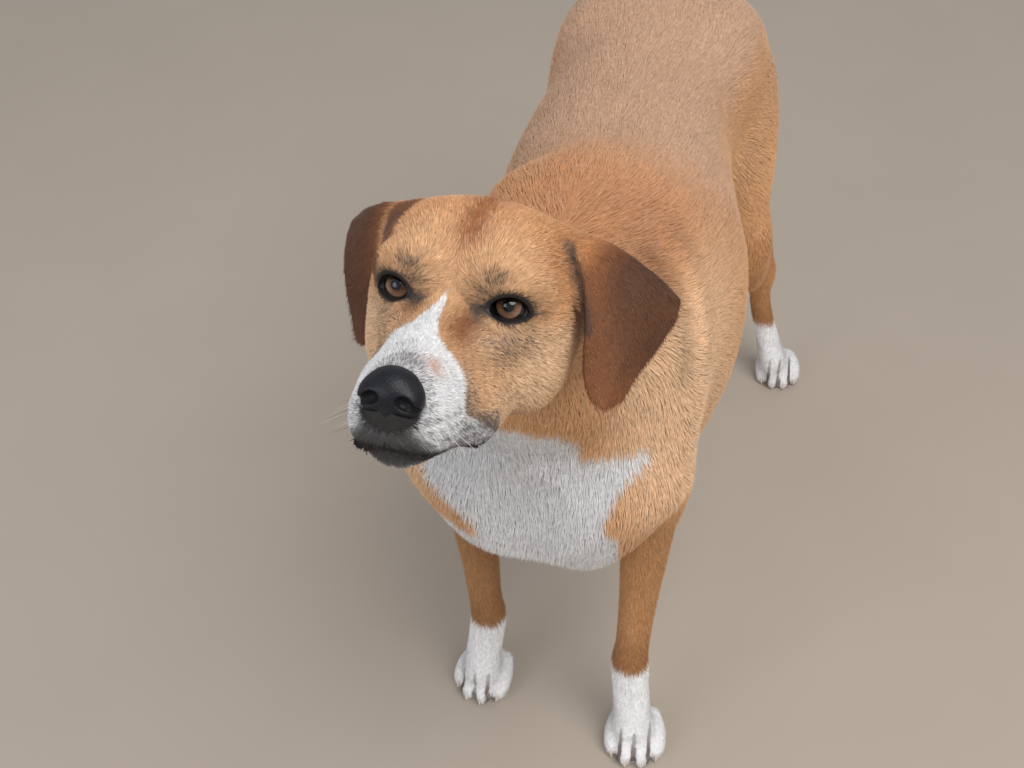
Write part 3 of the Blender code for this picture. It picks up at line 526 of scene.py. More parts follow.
def body_form(points):
    """The whole dog without its ears."""
    form = Form(points)
    torso(form)
    neck(form)
    for side in SIGN:
        foreleg(form, side)
        hindleg(form, side)
    tail(form)
    distance = form.distance
    feet = Form(points)
    for end in PAW_TURN:
        for side in SIGN:
            paw(feet, end, side)
    at = np.flatnonzero(feet.distance < 0.08)
    distance[at] = soft_min(distance[at], feet.distance[at], 10 * MM)
    at = near_head(points, HEAD_REACH_WIDE)
    if len(at):
        top = head_form(points[at], skull)
        jaw = head_form(points[at], lower_jaw)
        distance[at] = soft_min(distance[at], soft_min(top, jaw, 4 * MM), 22 * MM)
    return distance


# ---------------------------------------------------------------- meshing
def path_distance(places, limbs):
    """Millimetres from places, given in millimetres, to the nearest of some limbs."""
    form = Form(places * MM)
    for limb in limbs:
        form.add(limb, 1)
    return form.distance / MM


def thread(path, side=1):
    """A thin limb along a path of places, or with side -1 along its mirror image."""
    return Limb([(side * x, y, z, 0.5) for x, y, z in path])


def halved(quads):
    """Two triangles for each quad."""
    return np.vstack([quads[:, [0, 1, 2]], quads[:, [0, 2, 3]]])


def sample(distance, low, high, step):
    """Distances on a lattice, worked out only near the surface, and closed at the box."""
    block = 4
    low, high, step = np.array(low) * MM, np.array(high) * MM, step * MM
    count = -(-((high - low) / step).astype(int) // block) * block + 1
    axes = [a + step * np.arange(n) for a, n in zip(low, count)]
    mids = [a[:-1:block] + step * block / 2 for a in axes]
    rough = distance(np.stack(np.meshgrid(*mids, indexing="ij"), -1).reshape(-1, 3))
    rough = rough.reshape([len(m) for m in mids])
    values = np.repeat(np.repeat(np.repeat(rough, block, 0), block, 1), block, 2)
    values = np.pad(values, ((0, 1), (0, 1), (0, 1)), mode="edge")
    keep = np.zeros(values.shape, bool)
    for i, j, k in np.argwhere(np.abs(rough) < step * block * 1.35) * block:
        keep[i : i + block + 1, j : j + block + 1, k : k + block + 1] = True
    at = np.argwhere(keep)
    values[keep] = distance(np.stack([axes[c][at[:, c]] for c in range(3)], -1))
    for axis in range(3):
        for end in (0, -1):
            face = [slice(None)] * 3
            face[axis] = end
            values[tuple(face)] = np.maximum(values[tuple(face)], step * 0.4)
    return axes, np.pad(values, 1, constant_values=step)


CORNERS = [(i, j, k) for i in (0, 1) for j in (0, 1) for k in (0, 1)]


def one_group(corners):
    """Whether these corners of a cube hang together along its edges."""
    corners = list(corners)
    reached = corners[:1]
    for a in reached:
        for b in corners:
            if b not in reached and sum(abs(u - v) for u, v in zip(a, b)) == 1:
                reached.append(b)
    return len(reached) == len(corners)


def fill_pinches(values, depth):
    """Fills in the lattice where the surface would touch itself inside one cell."""
    torn = np.zeros(256, bool)
    for code in range(256):
        solid = [c for i, c in enumerate(CORNERS) if code >> i & 1]
        torn[code] = not (one_group(solid) and one_group(set(CORNERS) - set(solid)))
    n = np.array(values.shape) - 1
    for _ in range(12):
        inside = values < 0
        code = sum(inside[i : i + n[0], j : j + n[1], k : k + n[2]].astype(int) << b
                   for b, (i, j, k) in enumerate(CORNERS))
        cells = np.argwhere(torn[code])
        if not len(cells):
            break
        around = cells[:, None, :] + np.array(CORNERS)[None]
        here = values[tuple(around.reshape(-1, 3).T)].reshape(-1, 8)
        pick = np.argmin(np.where(here >= 0, here, np.inf), 1)
        values[tuple(around[np.arange(len(cells)), pick].T)] = -depth
    return values


def surface(axes, values):
    """One vertex in each cell that the surface crosses, and one quad over each crossed edge."""
    step = axes[0][1] - axes[0][0]
    values = fill_pinches(values, step * 0.05)
    inside = values < 0
    n = np.array(values.shape) - 1
    full = sum(inside[i : i + n[0], j : j + n[1], k : k + n[2]].astype(int) for i, j, k in CORNERS)
    cells = np.argwhere((full > 0) & (full < 8))
    number = -np.ones(n, int)
    number[tuple(cells.T)] = np.arange(len(cells))
    total, hits = np.zeros((len(cells), 3)), np.zeros(len(cells))
    for a in CORNERS:
        for axis in range(3):
            if a[axis]:
                continue
            b = tuple(v + (i == axis) for i, v in enumerate(a))
            va, vb = values[tuple((cells + a).T)], values[tuple((cells + b).T)]
            crossed = (va < 0) != (vb < 0)
            t = np.where(crossed, va / np.where(crossed, va - vb, 1), 0)
            total += (np.array(a) + np.eye(3)[axis] * t[:, None]) * crossed[:, None]
            hits += crossed
    points = np.array([a[0] - step for a in axes]) + (cells + total / hits[:, None]) * step
    quads = []
    for axis in range(3):
        u, v = np.eye(3, dtype=int)[(axis + 1) % 3], np.eye(3, dtype=int)[(axis + 2) % 3]
        lo, hi = [slice(None)] * 3, [slice(None)] * 3
        lo[axis], hi[axis] = slice(0, -1), slice(1, None)
        e = np.argwhere(inside[tuple(lo)] != inside[tuple(hi)])
        solid = inside[tuple(e.T)]
        ring = np.stack([number[tuple((e - s).T)] for s in (u * 0, u, u + v, v)], 1)
        ring[~solid] = ring[~solid][:, ::-1]
        quads.append(ring)
    return points, np.vstack(quads)


# ---------------------------------------------------------------- finer parts of the head
LID_ROWS = ((16.2, 3, -5.0, 0.8), (20.5, -0.5, -3.0, 3.9), (27.5, -3, -1.0, 5.8), (34, -1, -1.4, 4.7),
            (38.8, 4, -3.4, 0.8))


def lid_paths():
    for s in SIGN.values():
        yield Limb([(s * x, y, z, r) for x, y, z, r in LID_ROWS])


def cleft_paths():
    """Where the gaps between the toes run over each paw, from the instep to the ground."""
    up = np.linspace(44, 2, 127)
    paths = []
    for end in PAW_TURN:
        for side in SIGN:
            frame = paw_frame(end, side)
            for (a, ahead_a, _), (b, ahead_b, _) in zip(TOES, TOES[1:]):
                across, ahead = (a + b) / 2, (ahead_a + ahead_b) / 2
                spots = []
                for step in np.linspace(-11, 13, 13):
                    x, y, _ = paw_place(frame, ahead + step, across, 0)
                    column = np.stack([np.full(len(up), x), np.full(len(up), y), up], 1) * MM
                    inside = body_form(column) < 0
                    if inside.any() and not inside[0]:
                        spots.append((x, y, up[inside.argmax()], min(1.0, 0.45 + 0.18 * len(spots))))
                spots.append((*paw_place(frame, ahead + 12, across, 2), 1.0))
                paths.append(spots)
    return paths


def toe_clefts(radius):
    for spots in CLEFTS:
        yield Limb([(x, y, z - 1.5, radius * share) for x, y, z, share in spots])


def skin_form(points, swell=0.0):
    """The dog's whole form with ears, lids, mouth and clefts between the toes."""
    distance = body_form(points)
    low = np.flatnonzero(points[:, 2] < 50 * MM)
    if len(low):
        form = Form(points[low])
        form.distance = distance[low]
        for cleft in toe_clefts(0.7):
            form.carve(cleft, 1.5)
        distance[low] = form.distance
    at = near_head(points, HEAD_REACH)
    if len(at):
        form = Form(to_head(points[at]))
        form.distance = distance[at] / HEAD_SIZE
        for side in SIGN:
            ear(form, side, swell)
        eyelids(form)
        mouth(form)
        for limb in nostrils(2.6):
            form.carve(limb, 1)
        for limb in lid_paths():
            form.carve(limb, 1.2)
        distance[at] = form.distance * HEAD_SIZE
    return distance


def slopes(distance, points, step=0.35):
    """Unit vectors along which the distance grows."""
    total = np.zeros_like(points)
    for way in ((1, -1, -1), (-1, -1, 1), (-1, 1, -1), (1, 1, 1)):
        way = np.array(way, float)
        total += way * distance(points + way * step * MM)[:, None]
    return total / (np.linalg.norm(total, axis=1)[:, None] + 1e-12)


def settle(points, distance, target, rounds, most=1.5):
    """Moves points onto the surface at the target distance from the form's own."""
    for _ in range(rounds):
        off = np.clip(distance(points) - target, -most * MM, most * MM)
        points = points - slopes(distance, points) * off[:, None]
    return points


def sides_of(faces):
    return np.concatenate([faces[:, [0, 1]], faces[:, [1, 2]], faces[:, [2, 0]]])


def split_edges(points, faces, chosen):
    """Halves each edge between two chosen points and fills the triangles again."""
    sides = np.sort(sides_of(faces), axis=1)
    keys, back = np.unique(sides[:, 0] * len(points) + sides[:, 1], return_inverse=True)
    ends = np.stack([keys // len(points), keys % len(points)], 1)
    halved = chosen[ends].all(1)
    number = np.full(len(keys), -1)
    number[halved] = len(points) + np.arange(halved.sum())
    mid = number[back].reshape(3, -1).T
    points = np.vstack([points, points[ends[halved]].mean(1)])
    code = (mid >= 0) @ np.array([1, 2, 4])
    made = [faces[code == 0]]

    def fill(corners, middles, *triangles):
        """A triangle is three numbers: 0 to 2 are its corners, 3 to 5 the middles of its sides."""
        both = np.concatenate([corners, middles], 1)
        made.extend(both[:, list(triangle)] for triangle in triangles)

    for turn in range(3):
        f, m = np.roll(faces, -turn, axis=1), np.roll(mid, -turn, axis=1)
        one = (m[:, 0] >= 0) & (m[:, 1] < 0) & (m[:, 2] < 0)
        fill(f[one], m[one], (0, 3, 2), (3, 1, 2))
        two = (m[:, 0] >= 0) & (m[:, 1] >= 0) & (m[:, 2] < 0)
        fill(f[two], m[two], (0, 3, 2), (3, 4, 2), (3, 1, 4))
    fill(faces[code == 7], mid[code == 7], (0, 3, 5), (3, 1, 4), (5, 4, 2), (3, 4, 5))
    return points, np.vstack(made)


def relax(points, faces, share):
    """Moves each point towards the middle of its neighbours."""
    sides = sides_of(faces)
    count = np.bincount(sides[:, 0], minlength=len(points))
    mean = np.stack([np.bincount(sides[:, 0], points[sides[:, 1], c], len(points)) for c in range(3)], 1)
    return points + share * (mean / count[:, None] - points)


def point_normals(points, faces):
    a, b, c = (points[faces[:, i]] for i in range(3))
    flat = np.cross(b - a, c - a)
    total = np.stack([sum(np.bincount(faces[:, i], flat[:, axis], len(points)) for i in range(3))
                      for axis in range(3)], 1)
    return total / (np.linalg.norm(total, axis=1)[:, None] + 1e-20)


# ---------------------------------------------------------------- places on the dog
def ramp(x, low, high):
    """0 up to low, 1 from high on, and a smooth rise between."""
    t = np.clip((x - low) / (high - low), 0, 1)
    return t * t * (3 - 2 * t)


def grain(p, size, seed=0):
    """Smooth noise from -1 to 1 with lumps of the given size, for points in millimetres."""
    q = p / size + 13.7 * (seed + 1)
    cell = np.floor(q).astype(np.int64)
    f = q - cell
    f = f * f * (3 - 2 * f)
    total = np.zeros(len(p))
    for corner in CORNERS:
        c = (cell + corner + 1000 * (seed + 1)) & 0xFFFFFFFF
        h = (c[:, 0] * 73856093) ^ (c[:, 1] * 19349663) ^ (c[:, 2] * 83492791)
        h = (h ^ (h >> 13)) * 1274126177 & 0xFFFFFFFF
        weight = np.prod(np.where(corner, f, 1 - f), axis=1)
        total += weight * (((h ^ (h >> 16)) & 0xFFFF) / 32767.5 - 1)
    return total


NAPE_PLANE = (98, (0, 0.949, -0.316))  # the head ends here: how far behind the pupils, and which way it faces


class Spots:
    """Places on the dog with what the markings and the coat need to know about each."""

    def __init__(self, points, normals):
        self.mm = points / MM
        self.normal = normals
        self.h = to_head(points) / MM
        self.hn = normals @ HEAD_AXES
        near = near_head(points, HEAD_REACH)
        self.ear = {side: np.zeros(len(points)) for side in SIGN}
        plain = head_form(points[near], skull)
        for side in SIGN:
            flap = head_form(points[near], lambda form: ear(form, side))
            self.ear[side][near] = ramp((plain - flap) / MM, -1.0, 4.0)
        self.ears = np.maximum(self.ear["left"], self.ear["right"])
        x, y, z = self.mm.T
        behind, facing = NAPE_PLANE
        nape = self.h @ np.array(facing) - behind * facing[1]
        far = np.linalg.norm(self.mm - HEAD_AT, axis=1)
        self.head = ramp(-nape, -25, 15) * ramp(-far, -215, -190)
        self.neck = ramp(0.69 * (z - 486) - 0.72 * (y + 206), -30, 30) * (1 - self.head)
        self.paw = ramp(-z, -75, -50)
        self.leg = ramp(-z, -np.where(y < 0, 330, 390), -np.where(y < 0, 250, 300))
        self.tail = ramp(y, 338, 356) * ramp(-np.abs(x + 6), -55, -40) * ramp(z, 120, 135)
        self.leg = self.leg * (1 - self.tail)
        self.eye = np.min([np.linalg.norm((self.h - np.array((s * 29, -2, -1.5))) * (1, 1, 1.25), axis=1)
                           for s in SIGN.values()], axis=0)
        self.muzzle = ramp(-self.h[:, 1], -5, 25) * self.head * (1 - self.ears)


def mix(a, b, share):
    """From a to b, a share for each row."""
    return a + (b - a) * np.asarray(share)[..., None]


def coat_depth(s):
    """How far the skin lies inside the tips of the coat, in millimetres."""
    d = np.full(len(s.mm), 3.4)
    d += 0.8 * s.neck - 1.2 * s.leg
    d += (1.3 - d) * s.paw
    d += (1.9 - d) * s.head
    d += (1.2 - d) * s.muzzle
    d += (0.9 - d) * ramp(-s.eye, -22, -13) * s.head
    d += (1.0 - d) * s.ears
    return d


# ---- markings: where each edge runs, in millimetres
BLAZE_EDGE = (
    (-46, -38, -30, -24, -17, -10.6, -7.5, -5, -3.2, -2, -0.8, 0.3, 1.6, 6, 12.4, 18.6, 22.8, 25, 27, 32),
    (-60, -34, -26, -25, -28, -33, -21, -12, -8, -5, -11, -20, -31, -44, -50, -47, -48, -54, -54, -55),
)
BIB_LEFT = ((300, 351, 368, 375, 387, 407, 423, 431, 438, 444, 450, 483, 504, 525),
            (60, 63, 61, 54, 51, 57, 64, 72, 75, 55, 34, 32, 26, 10))
BIB_RIGHT = ((300, 330, 345, 350, 361, 372, 376, 385, 393, 420, 450, 483, 504, 525),
             (90, 92, 80, 48, 42, 50, 62, 75, 84, 84, 62, 48, 40, 20))
# dark front of the right ear's root on the temple: partly the ear's own colour, partly painted shade on its
# shadowed side
RIGHT_EAR_ROOT_SHADE = ((-45, 54, 35), (-46, 40, 29), (-47, 25, 19), (-47, 13, 14), (-49, 14, 0))
# painted shadow in the gap between the left ear's front edge and the cheek, used mirrored for the right ear
EAR_GAP_SHADOW = ((48, 41, 30), (52, 40, 22), (57, 43, 9), (62, 41, -4), (64, 41, -14))
# painted light and painted shade in bands down the neck's folds behind the ears, given for the left and used
# on both sides: each a path and how much lighter (above 0) or darker it makes the coat
NECK_FOLD_LIGHT_AND_SHADE = ((((59, -155, 559), (81, -157, 535), (93, -167, 509), (99, -177, 486)), 0.22),
              (((68, -142, 553), (88, -147, 528), (100, -157, 500), (104, -175, 470)), -0.18),
              (((52, -173, 558), (72, -176, 535), (84, -184, 508), (88, -197, 480)), -0.26))
BIB_TOP, SOCK, HIND_SOCK = 527, 101, 86

TAN = np.array((0.65, 0.36, 0.17))
BACK = np.array((0.515, 0.32, 0.21))
SADDLE = np.array((0.42, 0.185, 0.082))
LEG = np.array((0.455, 0.223, 0.091))
SHIN = np.array((0.30, 0.135, 0.05))
GOLD = np.array((0.565, 0.325, 0.168))
RUST = np.array((0.28, 0.104, 0.038))
CHOCOLATE = np.array((0.105, 0.044, 0.023))
ASH = np.array((0.41, 0.29, 0.205))
AMBER = np.array((0.43, 0.19, 0.075))
UMBER = np.array((0.15, 0.052, 0.018))
CREAM = np.array((0.74, 0.50, 0.31))
WHITE, WHITE_FACE = np.array((0.84, 0.83, 0.83)), np.array((0.68, 0.675, 0.68))
PINK = np.array((0.50, 0.25, 0.15))
GREY, LIP_GREY = np.array((0.30, 0.28, 0.29)), np.array((0.16, 0.15, 0.155))
# painted shade in the clefts between the toes
CLEFT_SHADE = np.array((0.14, 0.10, 0.08))
SOOT = np.array((0.05, 0.038, 0.032))
BLACK = np.array((0.016, 0.014, 0.014))


# ---- patches: place and radii, millimetres. On the head, the ones on both sides are given for the left
# painted shadow at the base of the neck, behind the left ear
WITHERS_PAINTED_SHADOW = ((57, -172, 556), (24, 38, 42))
NECK_PALE = ((70, -236, 492), (28, 32, 52))
STOP_LEFT, STOP_RIGHT = ((13, -25, -8), (9.5, 24, 14)), ((-19, -14, -8), (8, 14, 12))
EYE_BAG = ((31, -8, -17), (15, 24, 10))
BROW, BROW_INNER = ((22.5, -9, 13), (6, 9, 4)), ((18, -10, 6.5), (3.5, 8, 4.5))
RIM_ABOVE, RIM_BEHIND = ((29, -7, 6), (11, 9, 2.2)), ((41, 0, 1), (5, 9, 4))
TEAR_DUCT = ((16.5, -10, -3.5), (5, 10, 5.5))
EYE_CORNER = ((42.5, 6, -3.8), (6, 9, 1.5))
EAR_BASE = ((50, 44, 28), (18, 28, 22))
OVER_NOSE, OVER_NOSE_HIGH = ((2, -80, -13), (9, 9, 9)), ((-5, -62, -10), (5, 5, 8))
PINK_SPOT = ((13, -70, -17), (5, 6, 6))
# the bed behind the nose pad: painted shade where it shows through the nostrils
NOSE_BED = ((0, -91, -32), (15.5, 13, 14.5))
NOSE_BARE = ((0, -91, -30.5), (15, 13, 12.5))


def patch(p, spot, side=1):
    """1 at the spot's place, falling to 0 beyond its radii."""
    place, radii = np.array(spot, float)
    return np.exp(-(((p - place * (side, 1, 1)) / radii) ** 2).sum(1))


def within(p, spot):
    """Distance from the spot's place as a share of its radii."""
    place, radii = np.array(spot, float)
    return np.linalg.norm((p - place) / radii, axis=1)


def painted(colour, *others):
    """A colour with others laid over it in turn, each with its share and, for some, the most it may cover."""
    for tone, share, *most in others:
        colour = mix(colour, tone, np.clip(share, 0, most[0]) if most else share)
    return colour


# lines of painted shadow along both ears' front edges
def ear_gap_shadows():
    return [thread(EAR_GAP_SHADOW, side) for side in SIGN.values()]


def body_colour(s, wobble):
    """Tan, greyer along the back, redder over the withers, pale beside the neck; and its share of white."""
    x, y, z = s.mm.T
    up = s.normal[:, 2]
    saddle = ramp(-y, 10, 140) * ramp(up + s.normal[:, 1] * 0.5, 0.1, 0.8) * ramp(z, 400, 500)
    pale = ramp(np.abs(x), 45, 85) * ramp(-y, 60, 160) * ramp(z, 330, 400) * ramp(-z, -560, -500)
    # the right foreleg darker than the left: painted shade, as it stands in the body's shadow
    leg = np.where(y[:, None] < 0, np.where(x[:, None] > 0, LEG, LEG * 0.8), LEG * 1.3)
    colour = painted(
        np.tile(TAN, (len(x), 1)),
        (BACK, ramp(up, -0.1, 0.75) * ramp(y, -200, 20)),
        (SADDLE * 1.1, 0.7 * saddle),
        (CREAM, 0.85 * pale),
        (TAN * 1.2, 0.8 * ramp(y, 150, 230) * ramp(-z, -480, -380)),  # thigh
        (leg, 0.8 * s.leg),
        # painted shadow at the base of the neck, behind the left ear
        (SADDLE * 0.8, 0.8 * patch(s.mm, WITHERS_PAINTED_SHADOW)),
        (CREAM * 1.04, 0.95 * patch(s.mm, NECK_PALE)),
    )
    both_sides = np.stack([np.abs(x), y, z], 1)
    # painted light on the neck's fold and painted shadow of the ear beside it
    for path, tone in NECK_FOLD_LIGHT_AND_SHADE:
        fold = path_distance(both_sides, [thread(path)])
        colour = colour * (1 + tone * np.exp(-((fold / 8) ** 2)))[:, None]
    sock = np.where(y < 0, SOCK, HIND_SOCK) + 3.5 * wobble
    colour = mix(colour, SHIN, 0.75 * ramp(-z, -sock - 60, -sock - 8) * (1 - s.tail))
    # the white of breast, belly, socks and tail tip
    left, right = np.interp(z, *BIB_LEFT), -np.interp(z, *BIB_RIGHT)
    front = (-150 - (z - 350) * 0.57) - y
    bib = np.where(z > 300, np.min([left - x, x - right, BIB_TOP - z, front], axis=0), -20)
    belly = np.min([46 - np.abs(x + 2), 50 * (-up - 0.35), y + 250, 215 - y], axis=0)
    belly = np.where(z > 270, belly, -20)
    white = ramp(np.maximum(bib, belly) + 3.5 * wobble, -2.5, 2.5)
    white = np.maximum(white, ramp(sock - z, -3, 3) * (1 - s.tail))
    return colour, np.maximum(white, s.tail * ramp(-z, -205, -185))


def face_colour(s, wobble, strand):
    """Golden, with a rust streak and stop, pale cheeks and a white blaze; and its share of dark hairs."""
    hx, hy, hz = s.h.T
    ticks = 0.16 * ramp(np.abs(hx), 18, 34) * ramp(-hz, 5, 25) * ramp(-hy, -40, -5)
    cheek = ramp(np.abs(hx), 26, 42) * ramp(-hz, 4, 24) * ramp(-hy, -70, -25)
    streak = np.exp(-((hx - 1.5 + 0.02 * hy + 1.5 * wobble) / 9.5) ** 2) * ramp(hy, -8, 14) * ramp(hz, 8, 22)
    stop = patch(s.h, STOP_LEFT) + 0.7 * patch(s.h, STOP_RIGHT)
    gold = painted(
        np.tile(GOLD, (len(hx), 1)),
        (AMBER * 1.4, 0.5 * ramp(hy, 2, 40) * ramp(hz, -20, 5)),  # crown
        (CREAM * 0.98, (0.85 + 0.35 * strand) * cheek),
        (TAN * 0.8, 0.55 * ramp(hy, 40, 80) * ramp(-hz, 20, 50)),  # jaw
        (RUST * 1.1, 0.7 * ramp(-hz, 56, 72) * ramp(hy, -10, 20)),  # throat
        (RUST, (0.9 + 0.25 * strand) * streak, 1),
        (RUST * 0.85, (1.05 + 0.25 * strand) * stop, 1),
    )
    for side in SIGN.values():
        bag = patch(s.h, EYE_BAG, side)
        brow = patch(s.h, BROW, side) + 0.7 * patch(s.h, BROW_INNER, side)
        rim = patch(s.h, RIM_ABOVE, side) + patch(s.h, RIM_BEHIND, side)
        gold = painted(
            gold,
            (ASH, (0.55 + 0.3 * strand) * bag, 1),
            (SOOT * 1.6, 0.55 * brow, 1),
            (SOOT, 0.8 * rim, 0.9),
            (SOOT, 1.1 * patch(s.h, TEAR_DUCT, side), 0.95),
            (SOOT, 0.75 * patch(s.h, EYE_CORNER, side), 1),
        )
        ticks = ticks + 0.28 * bag * (1 + strand) + 0.6 * brow
    edge = np.interp(hx, *BLAZE_EDGE) + np.where(hx > 0, 2.0, 0.9) * np.clip(-42 - hz, 0, 18)
    blaze = edge - hy + 2.2 * wobble
    inner = ramp(blaze, -1.8, 2.4) * ramp(-hy, -2, 1)
    sooty = ramp(blaze, -20, -1) * ramp(-hz, 18, 36) * ramp(-hy, -10, 20) * (1 - inner)
    # root: distance to that line of the right ear's dark front, partly painted shade
    root = path_distance(s.h, [thread(RIGHT_EAR_ROOT_SHADE)])
    # fold: distance to the lines of painted shadow beside the ears
    fold = path_distance(s.h, ear_gap_shadows())
    gold = painted(
        gold,
        (ASH * 0.85, 0.75 * sooty),
        (AMBER, 1.1 * patch(s.h, EAR_BASE, 1), 1),
        (AMBER, 1.1 * patch(s.h, EAR_BASE, -1), 1),
        # umber by the right ear: partly the ear's own colour, partly painted shade
        (UMBER, 0.95 * ramp(-root, -12, -7)),
        # painted shadow in the gap between ear and cheek
        (SOOT * 1.4, 0.95 * np.exp(-((fold / 4.6) ** 2))),
    )
    chin = ramp(-hz, 60, 64) * ramp(-hy, -12, 6)
    return gold, np.maximum(inner, chin), ticks + 0.5 * sooty


def ear_colour(s, broad, wobble):
    """Dark chocolate with rust at the fold, front edge and tip; golden where the left one leaves the head."""
    hx, hy, hz = s.h.T
    left = hx > 0
    out = np.where(left, hx - 62 + 0.45 * (30 - hz), -hx - 50 + 0.3 * (26 - hz)) + 3 * wobble
    return painted(
        np.tile(CHOCOLATE, (len(hx), 1)),
        (RUST, 0.30 * (0.5 + 0.5 * broad)),
        (RUST, 0.75 * ramp(-out, -22, -2)),
        (RUST * 0.95, 0.5 * ramp(np.where(left, 50, 66) - hy, -6, 6)),
        (RUST * 0.85, 0.5 * ramp(-hz, 32, 52)),
        (CHOCOLATE * 0.8, 0.6 * ramp(hy, 55, 75) * ramp(-hz, 5, 30)),
        (np.where(left[:, None], AMBER * 1.3, UMBER * 1.6), ramp(-out, -7, 7)),
        # painted shadow along the front edge, where the ear meets the cheek
        (SOOT, 0.8 * np.exp(-((path_distance(s.h, ear_gap_shadows()) / 3.4) ** 2))),
    )


def muzzle_shade(s, colour, ticks, strand):
    """Grey over the nose, sooty flews, black under the nose, in dots where whiskers grow."""
    hx, hy, hz = s.h.T
    across = np.abs(hx)
    over = patch(s.h, OVER_NOSE) + 0.4 * patch(s.h, OVER_NOSE_HIGH)
    flews = ramp(-hz, 36, 56) * ramp(-hy, 8, 40) * s.head * (1 - s.ears)
    corner = ramp(across, 18, 27) * ramp(-hz, 43, 52) * ramp(-hy, 12, 24) * ramp(hy, -66, -50) * s.head
    beside = np.hypot(np.maximum(across - 14, 0), np.maximum(np.abs(hz + 30) - 8, 0))
    dots = np.exp(-((np.mod(hy + 0.35 * hz, 6.5) - 3.2) / 1.3) ** 2 - ((np.mod(hz, 6) - 3) / 1.2) ** 2)
    dots = dots * ramp(-hz, 32, 38) * ramp(-hy, 44, 54) * ramp(across, 10, 18) * s.head
    width = 8 + 0.62 * np.clip(-hz - 40, 0, 30)
    below = ramp(-hy, 70, 80) * ramp(-hz, 33, 40) * ramp(width - across, -6, 3) * s.head
    lower = ramp(-hy, 52, 64) * ramp(-hz, 57, 61) * ramp(hz, -68, -63) * s.head
    ticks = ticks + (0.7 * over + 0.36 * flews) * (1 + 0.5 * strand)
    ticks = ticks + 0.5 * np.exp(-((beside / 5) ** 2)) * ramp(-hy, 74, 84) * s.head
    ticks = ticks + 0.8 * below + 0.5 * lower
    colour = painted(
        colour,
        (GREY, 0.7 * over, 1),
        (PINK, 0.75 * patch(s.h, PINK_SPOT), 1),
        (LIP_GREY, (0.6 + 0.4 * strand) * corner, 1),
        (BLACK * 3, 0.75 * dots),
        (BLACK * 3, 0.6 * lower),
        # black fur under the nose, and painted shade in the bed behind the nose pad, seen through the
        # nostrils
        (BLACK, np.maximum(0.85 * below, ramp(-within(s.h, NOSE_BED), -1.1, -0.95))),
    )
    return colour, ticks


def markings(s):
    """Colour of the coat at each spot, its share of white, of black, of bare skin and of dark hairs."""
    wobble = 0.6 * grain(s.mm, 11, 1) + 0.4 * grain(s.mm, 4.5, 2)
    broad = 0.7 * grain(s.mm, 60, 3) + 0.3 * grain(s.mm, 25, 4)
    strand = grain(s.mm, 2.2, 5)
    colour, white = body_colour(s, wobble)
    gold, head_white, ticks = face_colour(s, wobble, strand)
    white = (white * (1 - s.head) + head_white * s.head) * (1 - s.ears)
    # the white turns darker between 200 and 300 mm up, over breast and belly: painted shade; socks and tail
    # tip keep the full white
    plain = painted(WHITE, (WHITE * 0.82, ramp(s.mm[:, 2], 200, 300)), (WHITE_FACE, s.head))
    colour = painted(colour, (gold, s.head), (ear_colour(s, broad, wobble), s.ears), (plain, white))
    colour, ticks = muzzle_shade(s, colour, ticks * (1 - head_white), strand)
    ticks = np.clip(ticks, 0, 0.9) * s.head * (1 - s.ears)
    lip = path_distance(s.h, mouth_path(1.0))
    rim = path_distance(s.h, lid_paths()) + 0.9 * ramp(-s.h[:, 2], 2, 6)
    # painted shade in the clefts between the toes, full near the ground and weaker higher up
    cleft = np.full(len(white), 99.0)
    low = np.flatnonzero(s.paw > 0)
    cleft[low] = path_distance(s.mm[low], toe_clefts(1.0))
    fade = 0.55 + 0.45 * ramp(-s.mm[:, 2], -34, -20)
    lip_reach = 4.6 + 2.5 * ramp(-s.h[:, 1], 30, 60)
    dark = np.maximum(ramp(-lip, -lip_reach, -1.6), ramp(-rim, -4.6, -2.4)) * s.head
    colour = painted(colour, (CLEFT_SHADE, 0.88 * fade * ramp(-cleft, -1.75, -1.3)), (BLACK, dark))
    colour = colour * (1 + (0.06 * broad + 0.05 * grain(s.mm, 7, 9)) * (1 - white))[:, None]
    bare = np.maximum(ramp(-lip, -2.4, -1.0), ramp(-rim, -3.0, -1.4)) * s.head
    return np.clip(colour, 0.004, 0.95), white, dark, bare, ticks


